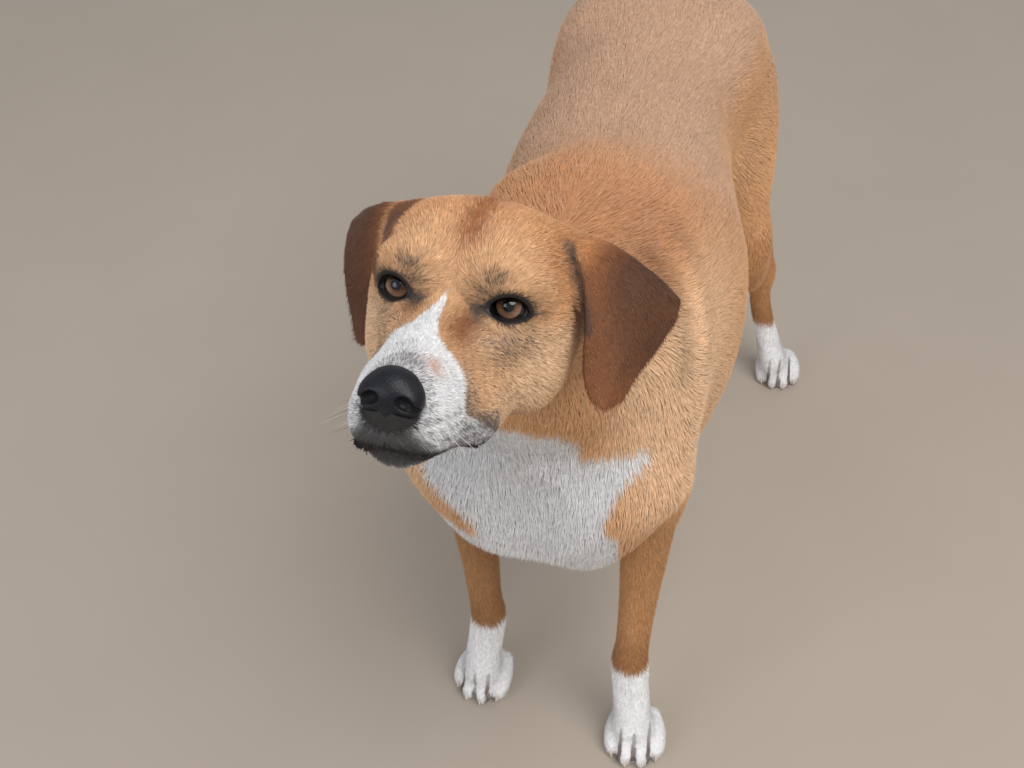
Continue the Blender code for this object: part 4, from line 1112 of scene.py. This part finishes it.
def lie(s):
    """Direction in which the hair lies, along the skin."""
    x, y, z = s.mm.T
    hx, _, hz = s.h.T
    n = s.normal

    def vec(a, b, c):
        return np.stack([part + np.zeros(len(x)) for part in (a, b, c)], 1)

    v = painted(
        vec(0, 1, -0.2 - 0.9 * ramp(-z, -520, -380)),
        (vec(0, 0.45, -1), ramp(y, 190, 260) * ramp(-z, -520, -450)),  # rump
        (vec(np.sign(x) * 0.25, 0.75, -0.65), s.neck),
        (vec(0.1 * grain(s.mm, 60, 8), 0.0, -1), ramp(-n[:, 1], 0.1, 0.6) * ramp(-y, 150, 220)),  # breast
        (vec(0, 0.12, -1), s.leg),
        (vec(0, -0.9, -0.45), s.paw),
        (vec(0, 0.25, -1), s.tail),
    )
    side = np.sign(hx)
    hv = painted(
        vec(0.010 * hx, 1, -0.1),
        (vec(side * 0.15, 1, -0.45), ramp(-hz, 5, 30)),
        (vec(side * 0.35, 0.9, -0.5), s.muzzle * ramp(-hz, 25, 45)),
    )
    for s_ in SIGN.values():
        off = s.h - np.array((s_ * 29, 0, -2))
        r = np.linalg.norm(off, axis=1)
        hv = hv + (off / (r[:, None] + 1e-6)) * (1.6 * ramp(-r, -26, -8))[:, None]
    for name, s_ in SIGN.items():
        hv = mix(hv, vec(s_ * 0.35, 0.10, -1), s.ear[name])
    v = mix(v, hv @ HEAD_AXES.T, s.head)
    swirl = np.stack([grain(s.mm, 30, 20 + i) for i in range(3)], 1)
    v = v + 0.22 * swirl
    v = v - n * (v * n).sum(1)[:, None]
    return v / (np.linalg.norm(v, axis=1)[:, None] + 1e-9)

# ---------------------------------------------------------------- materials
def nodes_of(name):
    made = bpy.data.materials.new(name)
    made.use_nodes = True
    tree = made.node_tree
    return made, tree, tree.nodes["Principled BSDF"]


def add(tree, kind, inputs=(), **settings):
    node = tree.nodes.new("ShaderNode" + kind)
    for key, value in settings.items():
        setattr(node, key, value)
    for socket, value in dict(inputs).items():
        if isinstance(value, bpy.types.NodeSocket):
            tree.links.new(value, node.inputs[socket])
        else:
            node.inputs[socket].default_value = value
    return node


def field(tree, name, output="Fac"):
    """A field of the mesh."""
    return add(tree, "Attribute", attribute_name=name).outputs[output]


def noise(tree, scale, detail, at=None, **inputs):
    """Noise over the object, or over another vector."""
    if at is None:
        at = add(tree, "TexCoord").outputs["Object"]
    return add(tree, "TexNoise", {"Vector": at, "Scale": scale, "Detail": detail, **inputs}).outputs["Fac"]


def mapped(tree, value, low, high, start=0.0, end=1.0):
    """The value, with its span from start to end stretched over low to high."""
    limits = {"From Min": start, "From Max": end, "To Min": low, "To Max": high}
    return add(tree, "MapRange", {"Value": value, **limits}).outputs["Result"]


def times(tree, colour, factor):
    """A colour multiplied by a factor."""
    inputs = {"Factor": 1, "A": colour, "B": factor}
    return add(tree, "Mix", inputs, data_type="RGBA", blend_type="MULTIPLY").outputs["Result"]


def two_tone(tree, value, dark, light):
    """A colour between dark and light."""
    tone = add(tree, "ValToRGB", {"Fac": value})
    for element, colour in zip(tone.color_ramp.elements, (dark, light)):
        element.color = (*colour, 1)
    return tone.outputs["Color"]


def tinted(tree, scale, low, high, detail=4):
    """The mesh's own colour times a fine noise between low and high."""
    fine = mapped(tree, noise(tree, scale, detail), low, high, 0.3, 0.7)
    return times(tree, field(tree, "coat", "Color"), fine)


def bump(tree, shader, height, strength, distance):
    node = add(tree, "Bump", {"Height": height, "Strength": strength, "Distance": distance})
    tree.links.new(node.outputs["Normal"], shader.inputs["Normal"])


def hair_material():
    made, tree, shader = nodes_of("hair")
    tree.links.new(tinted(tree, 260, 0.86, 1.12), shader.inputs["Base Color"])
    shader.inputs["Roughness"].default_value = 0.62
    shader.inputs["Specular IOR Level"].default_value = 0.28
    shader.inputs["Sheen Weight"].default_value = 0.12
    shader.inputs["Sheen Roughness"].default_value = 0.4
    return made


def skin_material():
    made, tree, shader = nodes_of("skin")
    tree.links.new(tinted(tree, 420, 0.72, 1.1), shader.inputs["Base Color"])
    tree.links.new(mapped(tree, field(tree, "bare"), 0.75, 0.4), shader.inputs["Roughness"])
    shader.inputs["Specular IOR Level"].default_value = 0.25
    bump(tree, shader, noise(tree, 700, 3), 0.5, 0.0006)
    return made


def nose_material():
    made, tree, shader = nodes_of("nose_leather_wet")
    place = add(tree, "TexCoord").outputs["Object"]
    cells = add(tree, "TexVoronoi", {"Vector": place, "Scale": 900, "Randomness": 0.9}).outputs["Distance"]
    tone = two_tone(tree, noise(tree, 160, 4), (0.003, 0.003, 0.005), (0.011, 0.012, 0.018))
    # painted shade in the nostrils: near black and fully rough there
    pit = field(tree, "pit")
    deep = add(tree, "Mix", {"Factor": pit, "A": tone, "B": (0.001, 0.001, 0.001, 1)}, data_type="RGBA")
    tree.links.new(deep.outputs["Result"], shader.inputs["Base Color"])
    tree.links.new(mapped(tree, pit, 0.46, 1.0), shader.inputs["Roughness"])
    shader.inputs["Specular IOR Level"].default_value = 0.2
    shader.inputs["Coat Weight"].default_value = 0.15
    shader.inputs["Coat Roughness"].default_value = 0.3
    bump(tree, shader, cells, 0.55, 0.0004)
    return made


IRIS = (  # colours from the middle of the pupil outwards, by the angle from the gaze in radians
    (0.0, (0.002, 0.002, 0.003)), (0.215, (0.002, 0.002, 0.003)), (0.25, (0.06, 0.03, 0.018)),
    (0.38, (0.15, 0.08, 0.046)), (0.53, (0.20, 0.112, 0.066)), (0.60, (0.06, 0.03, 0.02)),
    (0.635, (0.006, 0.005, 0.005)), (0.85, (0.012, 0.010, 0.010)), (1.0, (0.13, 0.11, 0.11)),
)


def eye_material():
    made, tree, shader = nodes_of("eye_wet")
    tone = add(tree, "ValToRGB", {"Fac": field(tree, "ring")})
    elements = tone.color_ramp.elements
    while len(elements) < len(IRIS):
        elements.new(0.5)
    for element, (at, colour) in zip(elements, IRIS):
        element.position, element.color = at, (*colour, 1)
    rays = noise(tree, 9, 5, field(tree, "spoke", "Vector"), Roughness=0.7)
    colour = times(tree, tone.outputs["Color"], mapped(tree, rays, 0.6, 1.35, 0.3, 0.7))
    # times the painted lid shadow above and painted light below
    tree.links.new(times(tree, colour, field(tree, "light")), shader.inputs["Base Color"])
    shader.inputs["Roughness"].default_value = 0.4
    shader.inputs["Specular IOR Level"].default_value = 0.0
    shader.inputs["Coat Weight"].default_value = 1.0
    shader.inputs["Coat Roughness"].default_value = 0.02
    return made


def claw_material():
    made, tree, shader = nodes_of("claw_horn_pale")
    streaks = noise(tree, 220, 4)
    tone = two_tone(tree, streaks, (0.50, 0.40, 0.34), (0.78, 0.69, 0.62))
    tree.links.new(tone, shader.inputs["Base Color"])
    shader.inputs["Roughness"].default_value = 0.35
    bump(tree, shader, streaks, 0.3, 0.0003)
    return made


def whisker_material():
    made, tree, shader = nodes_of("whisker_hair")
    tree.links.new(tinted(tree, 300, 0.9, 1.1, 2), shader.inputs["Base Color"])
    shader.inputs["Roughness"].default_value = 0.4
    return made


# ---------------------------------------------------------------- meshes
SHIFT = np.array([CENTRE[0], CENTRE[1], 0]) * MM


def mesh_object(name, points, faces, material, slot, nodes=(), smooth=True, **fields):
    """A piece from points in the dog's drawing frame. Its fields are one number, vector or colour a point."""
    mesh = bpy.data.meshes.new(name)
    faces = np.asarray(faces, np.int32)
    corners = faces.shape[1]
    mesh.vertices.add(len(points))
    mesh.vertices.foreach_set("co", (points - SHIFT).astype(np.float32).ravel())
    mesh.loops.add(faces.size)
    mesh.loops.foreach_set("vertex_index", faces.ravel())
    mesh.polygons.add(len(faces))
    mesh.polygons.foreach_set("loop_start", np.arange(0, faces.size, corners, dtype=np.int32))
    mesh.polygons.foreach_set("use_smooth", np.full(len(faces), smooth))
    mesh.update(calc_edges=True)
    for key, values in fields.items():
        if key == "uv":
            layer = mesh.uv_layers.new(name="OFBake")
            layer.uv.foreach_set("vector", values[faces.ravel()].astype(np.float32).ravel())
        elif values.ndim == 1:
            mesh.attributes.new(key, "FLOAT", "POINT").data.foreach_set("value", values.astype(np.float32))
        elif key == "coat":
            rgba = np.concatenate([values, np.ones((len(values), 1))], 1).astype(np.float32)
            mesh.attributes.new(key, "FLOAT_COLOR", "POINT").data.foreach_set("color", rgba.ravel())
        else:
            made = mesh.attributes.new(key, "FLOAT_VECTOR", "POINT")
            made.data.foreach_set("vector", values.astype(np.float32).ravel())
    mesh.materials.append(material)
    obj = bpy.data.objects.new(name, mesh)
    bpy.context.scene.collection.objects.link(obj)
    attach(obj, "root")
    if nodes:
        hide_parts(*nodes)


def make_skin():
    """The skin, finer at head, paws and eyes, drawn in by the depth of the coat."""
    points, quads = surface(*sample(lambda p: skin_form(p, EAR_SWELL), *SKIN_BOX, SKIN_GRID))
    faces = halved(quads)
    points = settle(points, skin_form, 0.0, 1, 3.0)
    for level in range(3):
        h = to_head(points) / MM
        eye = np.min([np.linalg.norm(h - np.array((s * 29, 0, -2)), axis=1) for s in SIGN.values()], axis=0)
        far = np.linalg.norm(points / MM - HEAD_AT, axis=1)
        if level == 0:
            chosen = (far < 135) | (points[:, 2] < 66 * MM)
        elif level == 1:
            snout = (h[:, 1] < -20) & (far < 150)
            mouth_side = (h[:, 2] < -45) & (h[:, 1] < 20) & (far < 120)
            chosen = (eye < 24) | snout | mouth_side | (path_distance(points / MM, toe_clefts(1.0)) < 5)
        else:
            chosen = eye < 19
        before = len(points)
        points, faces = split_edges(points, faces, chosen)
        fresh = np.append(np.flatnonzero(chosen), np.arange(before, len(points)))
        points[fresh] = relax(points, faces, 0.35)[fresh]
        points[fresh] = settle(points[fresh], skin_form, 0.0, 1)
    outline = Spots(points, slopes(skin_form, points))
    depth = coat_depth(outline) * MM
    for share in (0.5, 1.0):
        points = settle(points, skin_form, -depth * share, 1, 3.5)
    points[:, 2] = np.maximum(points[:, 2], LOWEST * MM)
    return points, faces


COAT = {  # tufts to a square millimetre, length, width
    "body": (0.42, 14, 1.0), "neck": (0.46, 15, 1.0), "leg": (0.48, 8.5, 0.95), "paw": (1.1, 4.2, 0.7),
    "head": (1.3, 6, 0.66), "muzzle": (2.4, 3.6, 0.52), "ear": (1.35, 4.2, 0.62), "tail": (0.36, 19, 1.2),
    "eye": (2.2, 3.2, 0.5), "lip": (2.6, 2.8, 0.5),
}


def coat_of(s):
    """Tufts to a square millimetre, their length and width."""
    shares = {"neck": s.neck, "leg": s.leg, "paw": s.paw, "tail": s.tail, "head": s.head, "muzzle": s.muzzle,
              "ear": s.ears, "eye": ramp(-s.eye, -22, -12) * s.head * (1 - s.ears),
              "lip": ramp(-s.h[:, 2], 50, 56) * s.muzzle}
    body = np.tile(np.array(COAT["body"], float), (len(s.mm), 1))
    return painted(body, *((np.array(COAT[key], float), share) for key, share in shares.items())).T


PARTS = ("trunk_front", "trunk_middle", "trunk_rear", "neck", "face", "skull", "ears", "legs_front",
         "legs_hind_left", "legs_hind_right", "tail")


def part_of(s):
    """Number in PARTS of the coat piece that each spot belongs to."""
    y = s.mm[:, 1]
    head, low = s.head > 0.5, (s.leg > 0.5) | (s.paw > 0.5)
    part = np.full(len(y), PARTS.index("trunk_front"))
    for name, on in (("trunk_middle", y >= -60), ("trunk_rear", y >= 130), ("neck", s.neck > 0.5),
                     ("face", head & (s.h[:, 1] < 18)), ("skull", head & (s.h[:, 1] >= 18)),
                     ("ears", s.ears > 0.5), ("legs_front", low & (y < 0)),
                     ("legs_hind_left", low & (y >= 0)),
                     ("legs_hind_right", low & (y >= 0) & (s.mm[:, 0] < 0)), ("tail", s.tail > 0.5)):
        part[on] = PARTS.index(name)
    return part


def angle_of(x, y):
    """The angle about the origin, from 0 to 1."""
    return np.arctan2(x, y) / math.tau + 0.5


def unwrap(s, part):
    """Where each spot lies on a flattened skin of its piece, from 0 to 1."""
    x, y, z = s.mm.T
    name = PARTS[part]
    if name == "neck":
        along = (z - 486) * 0.72 - (y + 206) * 0.69
        across = (z - 486) * 0.69 + (y + 206) * 0.72
        return np.stack([angle_of(x, across), (along + 120) / 340], 1)
    if name.startswith("trunk"):
        axis_z = np.interp(y, [r[0] for r in TRUNK], [r[2] for r in TRUNK])
        return np.stack([angle_of(x, z - axis_z), (y + 330) / 700], 1)
    if name in ("face", "skull"):
        hx, hy, hz = (s.h - (0, 40, -20)).T
        return np.stack([angle_of(hx, hz), np.arctan2(hy, np.hypot(hx, hz)) / math.pi + 0.5], 1)
    if name == "ears":
        u = (s.h[:, 1] - 30) / 90 * 0.24
        inner = (s.hn[:, 0] * np.sign(s.h[:, 0]) < 0) * 0.25
        return np.stack([0.02 + u + inner + 0.5 * (s.h[:, 0] < 0) * 0.98, (s.h[:, 2] + 70) / 130], 1)
    if name == "tail":
        axis_y = np.interp(z, (160, 240, 370, 490), (460, 412, 384, 320))
        return np.stack([angle_of(x + 6, y - axis_y), (z - 140) / 360], 1)
    legs = FORELEG if name == "legs_front" else HINDLEG
    uv = np.zeros((len(x), 2))
    for side, s_ in SIGN.items():
        on = x * s_ > 0
        rows = sorted([(*r, 0)[:3] for r in legs[side]], key=lambda r: r[2])
        xs, ys, zs = zip(*rows)
        cy = np.interp(z, zs, ys) + 15 * ramp(-z, -60, -20)
        angle = angle_of(x - np.interp(z, zs, xs), y - cy)
        uv[on] = np.stack([angle * 0.48 + 0.01 + 0.5 * (s_ < 0), (z + 4) / 400], 1)[on]
    return uv


TUFTS = 372_000
TUFT_FACES = np.array([(0, 3, 2), (1, 2, 3), (0, 1, 3), (0, 2, 1)])  # of the two roots, ridge and tip
TUFT_UV = np.array([(-1, -1), (1, -1), (0, 0), (0, 1)]) * 0.0014
ROOT_DEPTH = 0.25  # the roots start this far below the skin
LENGTHS, WIDTHS = (0.72, 1.15), (0.75, 1.2)  # least and most of what a tuft has of its usual size
RISES = (0.66, 0.96)  # the tips rise through this share of the coat's depth
SWAY = 0.16  # spread of the direction, radians
TONES = 0.07  # spread of the brightness
PALE_SHARE, SALT_SHARE = 0.1, 0.16  # of the tufts, on the head and on the body
SALT = (0.74, 0.52, 0.36)  # tips of the pale hairs among the tan
DARK_HAIR, DARK_HAIR_BLACK = 0.33, 1.5  # a dark hair keeps this share of its colour and adds this much black


def darkened(colour):
    return colour * DARK_HAIR + BLACK * DARK_HAIR_BLACK


def make_coat(skin, faces, normals, material):
    """Tufts over the skin, a piece for each part of the coat. A tuft is a blade of four triangles."""
    rng = np.random.default_rng(20)
    spots = Spots(skin, normals)
    dense, _, _ = coat_of(spots)
    _, _, _, bare, _ = markings(spots)
    dense = dense * (1 - ramp(bare, 0.3, 0.8)) * ramp(skin[:, 2], 0.5 * MM, 3 * MM)
    dense = dense * ramp(within(spots.h, NOSE_BARE), 0.98, 1.1)
    a, b, c = (skin[faces[:, i]] for i in range(3))
    area = np.linalg.norm(np.cross(b - a, c - a), axis=1) / 2 / MM**2
    load = area * dense[faces].mean(1)
    wanted = int(min(TUFTS, load.sum()))
    ends = np.cumsum(load)
    picks = (np.arange(wanted) + rng.random(wanted)) / wanted * ends[-1]
    at = np.minimum(np.searchsorted(ends, picks), len(faces) - 1)
    u, v = rng.random(wanted), rng.random(wanted)
    flip = u + v > 1
    u[flip], v[flip] = 1 - u[flip], 1 - v[flip]
    w = np.stack([1 - u - v, u, v], 1)

    def blend(values):
        return (values[faces[at]] * w.reshape(w.shape + (1,) * (values.ndim - 1))).sum(1)

    root, n = blend(skin), blend(normals)
    n /= np.linalg.norm(n, axis=1)[:, None]
    s = Spots(root, n)
    colour, white, dark, bare, ticks = markings(s)
    ticked = rng.random(wanted) < ticks * (1 - dark)
    colour[ticked] = darkened(colour[ticked])
    golden = s.head * (1 - s.ears) * (1 - white) * (1 - dark) * (colour[:, 0] > 0.32)
    pale = rng.random(wanted) < PALE_SHARE * golden
    colour[pale] = mix(colour[pale], CREAM, 0.45)
    _, length, width = coat_of(s)
    depth = coat_depth(s)
    way = lie(s)
    side = np.cross(n, way)
    turn = rng.normal(0, SWAY, wanted)
    way = way * np.cos(turn)[:, None] + side * np.sin(turn)[:, None]
    side = np.cross(n, way)
    length = length * rng.uniform(*LENGTHS, wanted)
    width = width * rng.uniform(*WIDTHS, wanted)
    lift = np.clip(depth / length * rng.uniform(*RISES, wanted), 0.05, 0.5)
    tip_way = way * np.cos(lift)[:, None] + n * np.sin(lift)[:, None]
    root = root - n * ROOT_DEPTH * MM
    half = side * (width / 2 * MM)[:, None]
    ridge = root + n * (0.13 * width * MM)[:, None] + way * (0.18 * length * MM)[:, None]
    tip = root + tip_way * (length * MM)[:, None]
    points = np.stack([root - half, root + half, ridge, tip], 1)
    points[:, :, 2] = np.maximum(points[:, :, 2], LOWEST * MM)
    tone = 1 + rng.normal(0, TONES, wanted) * (1 + 0.8 * s.head)
    salt = (rng.random(wanted) < SALT_SHARE) * (1 - white) * (1 - dark) * (1 - s.head) * (1 - s.leg)
    # darker roots and paler tips: partly the hairs' own paler tips, partly painted shade at the roots between
    # tufts
    base = colour * tone[:, None]
    tip_colour = mix(base * 1.12, np.tile(SALT, (wanted, 1)), 0.4 * salt)
    shade = np.stack([base * 0.95, base * 0.95, base, tip_colour], 1)
    part = part_of(s)
    for number, name in enumerate(PARTS):
        on = np.flatnonzero(part == number)
        if not len(on):
            continue
        here = SimpleNamespace(mm=s.mm[on], h=s.h[on], hn=s.hn[on])
        uv = 0.004 + 0.992 * np.clip(unwrap(here, number), 0, 1)
        uv = (uv[:, None, :] + TUFT_UV[None]).reshape(-1, 2)
        f = (TUFT_FACES[None] + 4 * np.arange(len(on))[:, None, None]).reshape(-1, 3)
        mesh_object("coat_" + name, points[on].reshape(-1, 3), f, material, "coat_tan", smooth=False,
                    coat=np.clip(shade[on].reshape(-1, 3), 0, 1), uv=uv)


def make_eyes(material):
    """Eyeballs with the bulge of the cornea. A ring is all points at one angle from the gaze."""
    rings, sides = 48, 48
    for name, s in SIGN.items():
        gaze = np.array(GAZE) * (s, 1, 1)
        gaze /= np.linalg.norm(gaze)
        right = np.cross(gaze, (0, 0, 1))
        right /= np.linalg.norm(right)
        up = np.cross(right, gaze)
        rows, ring, spoke, light = [], [], [], []
        for i in range(rings + 1):
            a = math.pi * i / rings
            bulge = CORNEA * max(0.0, 1 - (a / CORNEA_REACH) ** 2) ** 2
            for j in range(sides):
                t = math.tau * j / sides
                way = gaze * math.cos(a) + (right * math.cos(t) + up * math.sin(t)) * math.sin(a)
                rows.append(np.array((s * EYE[0], EYE[1], EYE[2])) + way * (EYE_RADIUS - EYE_MARGIN + bulge))
                ring.append(a)
                spoke.append((math.cos(t), math.sin(t), a * 0.6))
                # painted shadow of the upper lid over the top of the eye, and painted light on its lower part
                light.append(1.4 - 1.3 * ramp(EYE[2] + way[2] * EYE_RADIUS, -3, 3.6))
        faces = []
        for first in range(0, rings * sides, sides):
            for j in range(sides):
                k = (j + 1) % sides
                faces.append((first + j, first + k, first + sides + k, first + sides + j))
        mesh_object("eyeball_" + name, from_head(np.array(rows)), faces, material, "eye_brown",
                    ["eye_" + name], ring=np.array(ring), spoke=np.array(spoke), light=np.array(light))


def tube_faces(first, rings, sides):
    """Faces of a closed tube of rings of points, numbered from first."""
    faces = []
    for start in range(first, first + (rings - 1) * sides, sides):
        for i in range(sides):
            p, q = start + i, start + (i + 1) % sides
            faces += [(p, q, q + sides), (p, q + sides, p + sides)]
    for start, turn in ((first, -1), (first + (rings - 1) * sides, 1)):
        for i in range(1, sides - 1):
            faces.append((start, start + i, start + i + 1)[::turn])
    return faces


def make_nose(material):
    middle = from_head(NOSE_MIDDLE) / MM

    def distance(p):
        return head_form(p, nose)

    points, quads = surface(*sample(distance, middle - 26, middle + 26, NOSE_GRID))
    points = settle(points, distance, 0.0, 2)
    # share of painted shade in the nostrils at each point
    pit = ramp(-path_distance(to_head(points) / MM, nostrils()), -0.7, 0.4)
    mesh_object("nose_pad", points, halved(quads), material, "nose_leather", ["nose"], pit=pit)


CLAW = ((5, 12.0, 0.34, 0.40), (11, 9.6, 0.25, 0.30), (15.2, 5.2, 0.09, 0.11), (15.8, 4.3, 0.02, 0.03))


def make_claws(material):
    """Claws. A row of CLAW is ahead of the toe's middle, height, and half width and depth in toe radii."""
    rows, faces, names = [], [], []
    sides = 14
    for end in PAW_TURN:
        for side in SIGN:
            frame_ = paw_frame(end, side)
            _, f, o, size, _ = frame_
            for number, (across, ahead, r) in enumerate(TOES, 1):
                names.append(f"claw_{end}_{side}_{number}")
                rings = smooth_path(CLAW, 5)
                faces += tube_faces(len(rows), len(rings), sides)
                for forward, up, wide, deep in rings:
                    middle = np.array(paw_place(frame_, ahead + forward, across * 1.02, up))
                    for i in range(sides):
                        a = math.tau * i / sides
                        lift = np.array([f[0] * 0.5, f[1] * 0.5, 1]) * math.sin(a) * deep
                        aside = np.array([*o, 0]) * math.cos(a) * wide
                        rows.append((middle + (aside + lift) * r * size) * MM)
    mesh_object("claws", np.array(rows), faces, material, "claw_horn", names)


PALE_WHISKER, DARK_WHISKER = (0.8, 0.78, 0.74), (0.06, 0.05, 0.05)
WHISKER_RADIUS = 0.09


def make_whiskers(skin, material):
    """Whiskers in rows on both flews and under the lip, each from the nearest point of the skin."""
    rng = np.random.default_rng(4)
    rows, faces, colours, spots = [], [], [], []
    sides, steps = 4, 6
    for s in SIGN.values():
        for line, count in ((-42, 3), (-47, 4), (-52, 4)):
            for i in range(count):
                along, height = -78 + i * 6 + rng.uniform(-2, 2), line + rng.uniform(-1, 1)
                spots.append((s, along, height, rng.uniform(8, 17)))
        for i in range(5):
            spots.append((s, -66 + i * 8, -70, rng.uniform(6, 12)))
    h = to_head(skin) / MM
    for s, y, z, length in spots:
        root = np.argmin(((h - np.array((s * 30, y, z))) ** 2 * (0.05, 1, 1)).sum(1))
        start = h[root] - np.array((s * 1.0, 0, 0))
        way = np.array((s * 0.8, 0.1 + rng.uniform(-0.25, 0.25), -0.5 + rng.uniform(-0.25, 0.2)))
        way /= np.linalg.norm(way)
        bend = np.array((0, 0.2, -0.3))
        faces += tube_faces(len(rows), steps + 1, sides)
        aside = np.cross(way, (0, 0, 1))
        aside /= np.linalg.norm(aside)
        above = np.cross(aside, way)
        pale = rng.random() < 0.6
        for i in range(steps + 1):
            t = i / steps
            middle = start + way * length * t + bend * length * 0.35 * t * t
            radius = WHISKER_RADIUS * (1 - 0.8 * t)
            for j in range(sides):
                a = math.tau * j / sides
                rows.append(from_head(middle + (aside * math.cos(a) + above * math.sin(a)) * radius))
                colours.append(PALE_WHISKER if pale else DARK_WHISKER)
    mesh_object("whiskers", np.array(rows), faces, material, "coat_white", coat=np.array(colours))


# ---------------------------------------------------------------- stage
FLOOR_REACH = 6.0  # metres from the middle to each edge
CAMERA_TURN = (-17.5, 43.3, -2.2)  # yaw, pitch and roll, degrees
CAMERA_AT = (0.168, -0.837, 1.073)  # metres, in the dog's drawing frame
FOCAL_PIXELS, PHOTO_WIDTH, SENSOR = 1250, 1024, 36  # pixels, pixels, millimetres


def make_stage():
    made, tree, shader = nodes_of("floor_pale")
    tone = two_tone(tree, noise(tree, 6, 5), (0.385, 0.325, 0.268), (0.415, 0.352, 0.292))
    tree.links.new(tone, shader.inputs["Base Color"])
    shader.inputs["Roughness"].default_value = 0.8
    mesh = bpy.data.meshes.new("floor")
    r = FLOOR_REACH
    mesh.from_pydata([(-r, -r, 0), (r, -r, 0), (r, r, 0), (-r, r, 0)], [], [(0, 1, 2, 3)])
    floor = bpy.data.objects.new("floor", mesh)
    mesh.materials.append(made)
    bpy.context.scene.collection.objects.link(floor)
    floor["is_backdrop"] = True

    world = bpy.data.worlds.new("studio")
    bpy.context.scene.world = world
    world.use_nodes = True
    sky = world.node_tree.nodes["Background"]
    sky.inputs["Color"].default_value = (0.93, 0.96, 1.0, 1)
    sky.inputs["Strength"].default_value = 0.55

    def lamp(name, place, aim, size, power, colour):
        light = bpy.data.lights.new(name, "AREA")
        light.shape, light.size, light.energy, light.color = "DISK", size, power, colour
        obj = bpy.data.objects.new(name, light)
        obj.location = place
        obj.rotation_euler = (Vector(aim) - Vector(place)).to_track_quat("-Z", "Y").to_euler()
        bpy.context.scene.collection.objects.link(obj)

    lamp("key", (1.2, -1.0, 3.0), (0, 0, 0.4), 2.4, 77, (1.0, 0.98, 0.95))
    lamp("fill", (-1.4, -2.4, 1.7), (0, -0.2, 0.4), 1.8, 20, (0.93, 0.96, 1.0))


def make_camera():
    yaw, pitch, roll = (math.radians(v) for v in CAMERA_TURN)
    d = np.array((math.sin(yaw) * math.cos(pitch), math.cos(yaw) * math.cos(pitch), -math.sin(pitch)))
    r = np.array((math.cos(yaw), -math.sin(yaw), 0))
    u = np.cross(r, d)
    right = math.cos(roll) * r + math.sin(roll) * u
    up = -math.sin(roll) * r + math.cos(roll) * u
    camera = bpy.data.cameras.new("camera")
    camera.sensor_width, camera.lens = SENSOR, SENSOR * FOCAL_PIXELS / PHOTO_WIDTH
    obj = bpy.data.objects.new("camera", camera)
    columns = Matrix([[right[i], up[i], -d[i]] for i in range(3)]).to_4x4()
    obj.matrix_world = Matrix.Translation(Vector(np.array(CAMERA_AT) - SHIFT)) @ columns
    bpy.context.scene.collection.objects.link(obj)
    bpy.context.scene.camera = obj


CLEFTS = cleft_paths()


def main():
    make_camera()
    make_stage()
    skin, faces = make_skin()
    normals = point_normals(skin, faces)
    colour, _, _, bare, ticks = markings(Spots(skin, normals))
    colour = mix(colour, darkened(colour), 0.6 * ticks)
    flesh = [n for n in frame["nodes"] if n.split("_")[0] not in ("eye", "claw", "nose")]
    # the skin a little darker than its coat: painted shade in the gaps between tufts
    mesh_object("skin", skin, faces, skin_material(), "coat_tan", flesh, coat=colour * 0.97, bare=bare)
    make_coat(skin, faces, normals, hair_material())
    make_eyes(eye_material())
    make_nose(nose_material())
    make_claws(claw_material())
    make_whiskers(skin, whisker_material())
    bpy.context.scene.view_settings.view_transform = "Standard"


main()
[[list(map(float, corner)) for corner in box] for box in (CAD_BOX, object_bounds())]
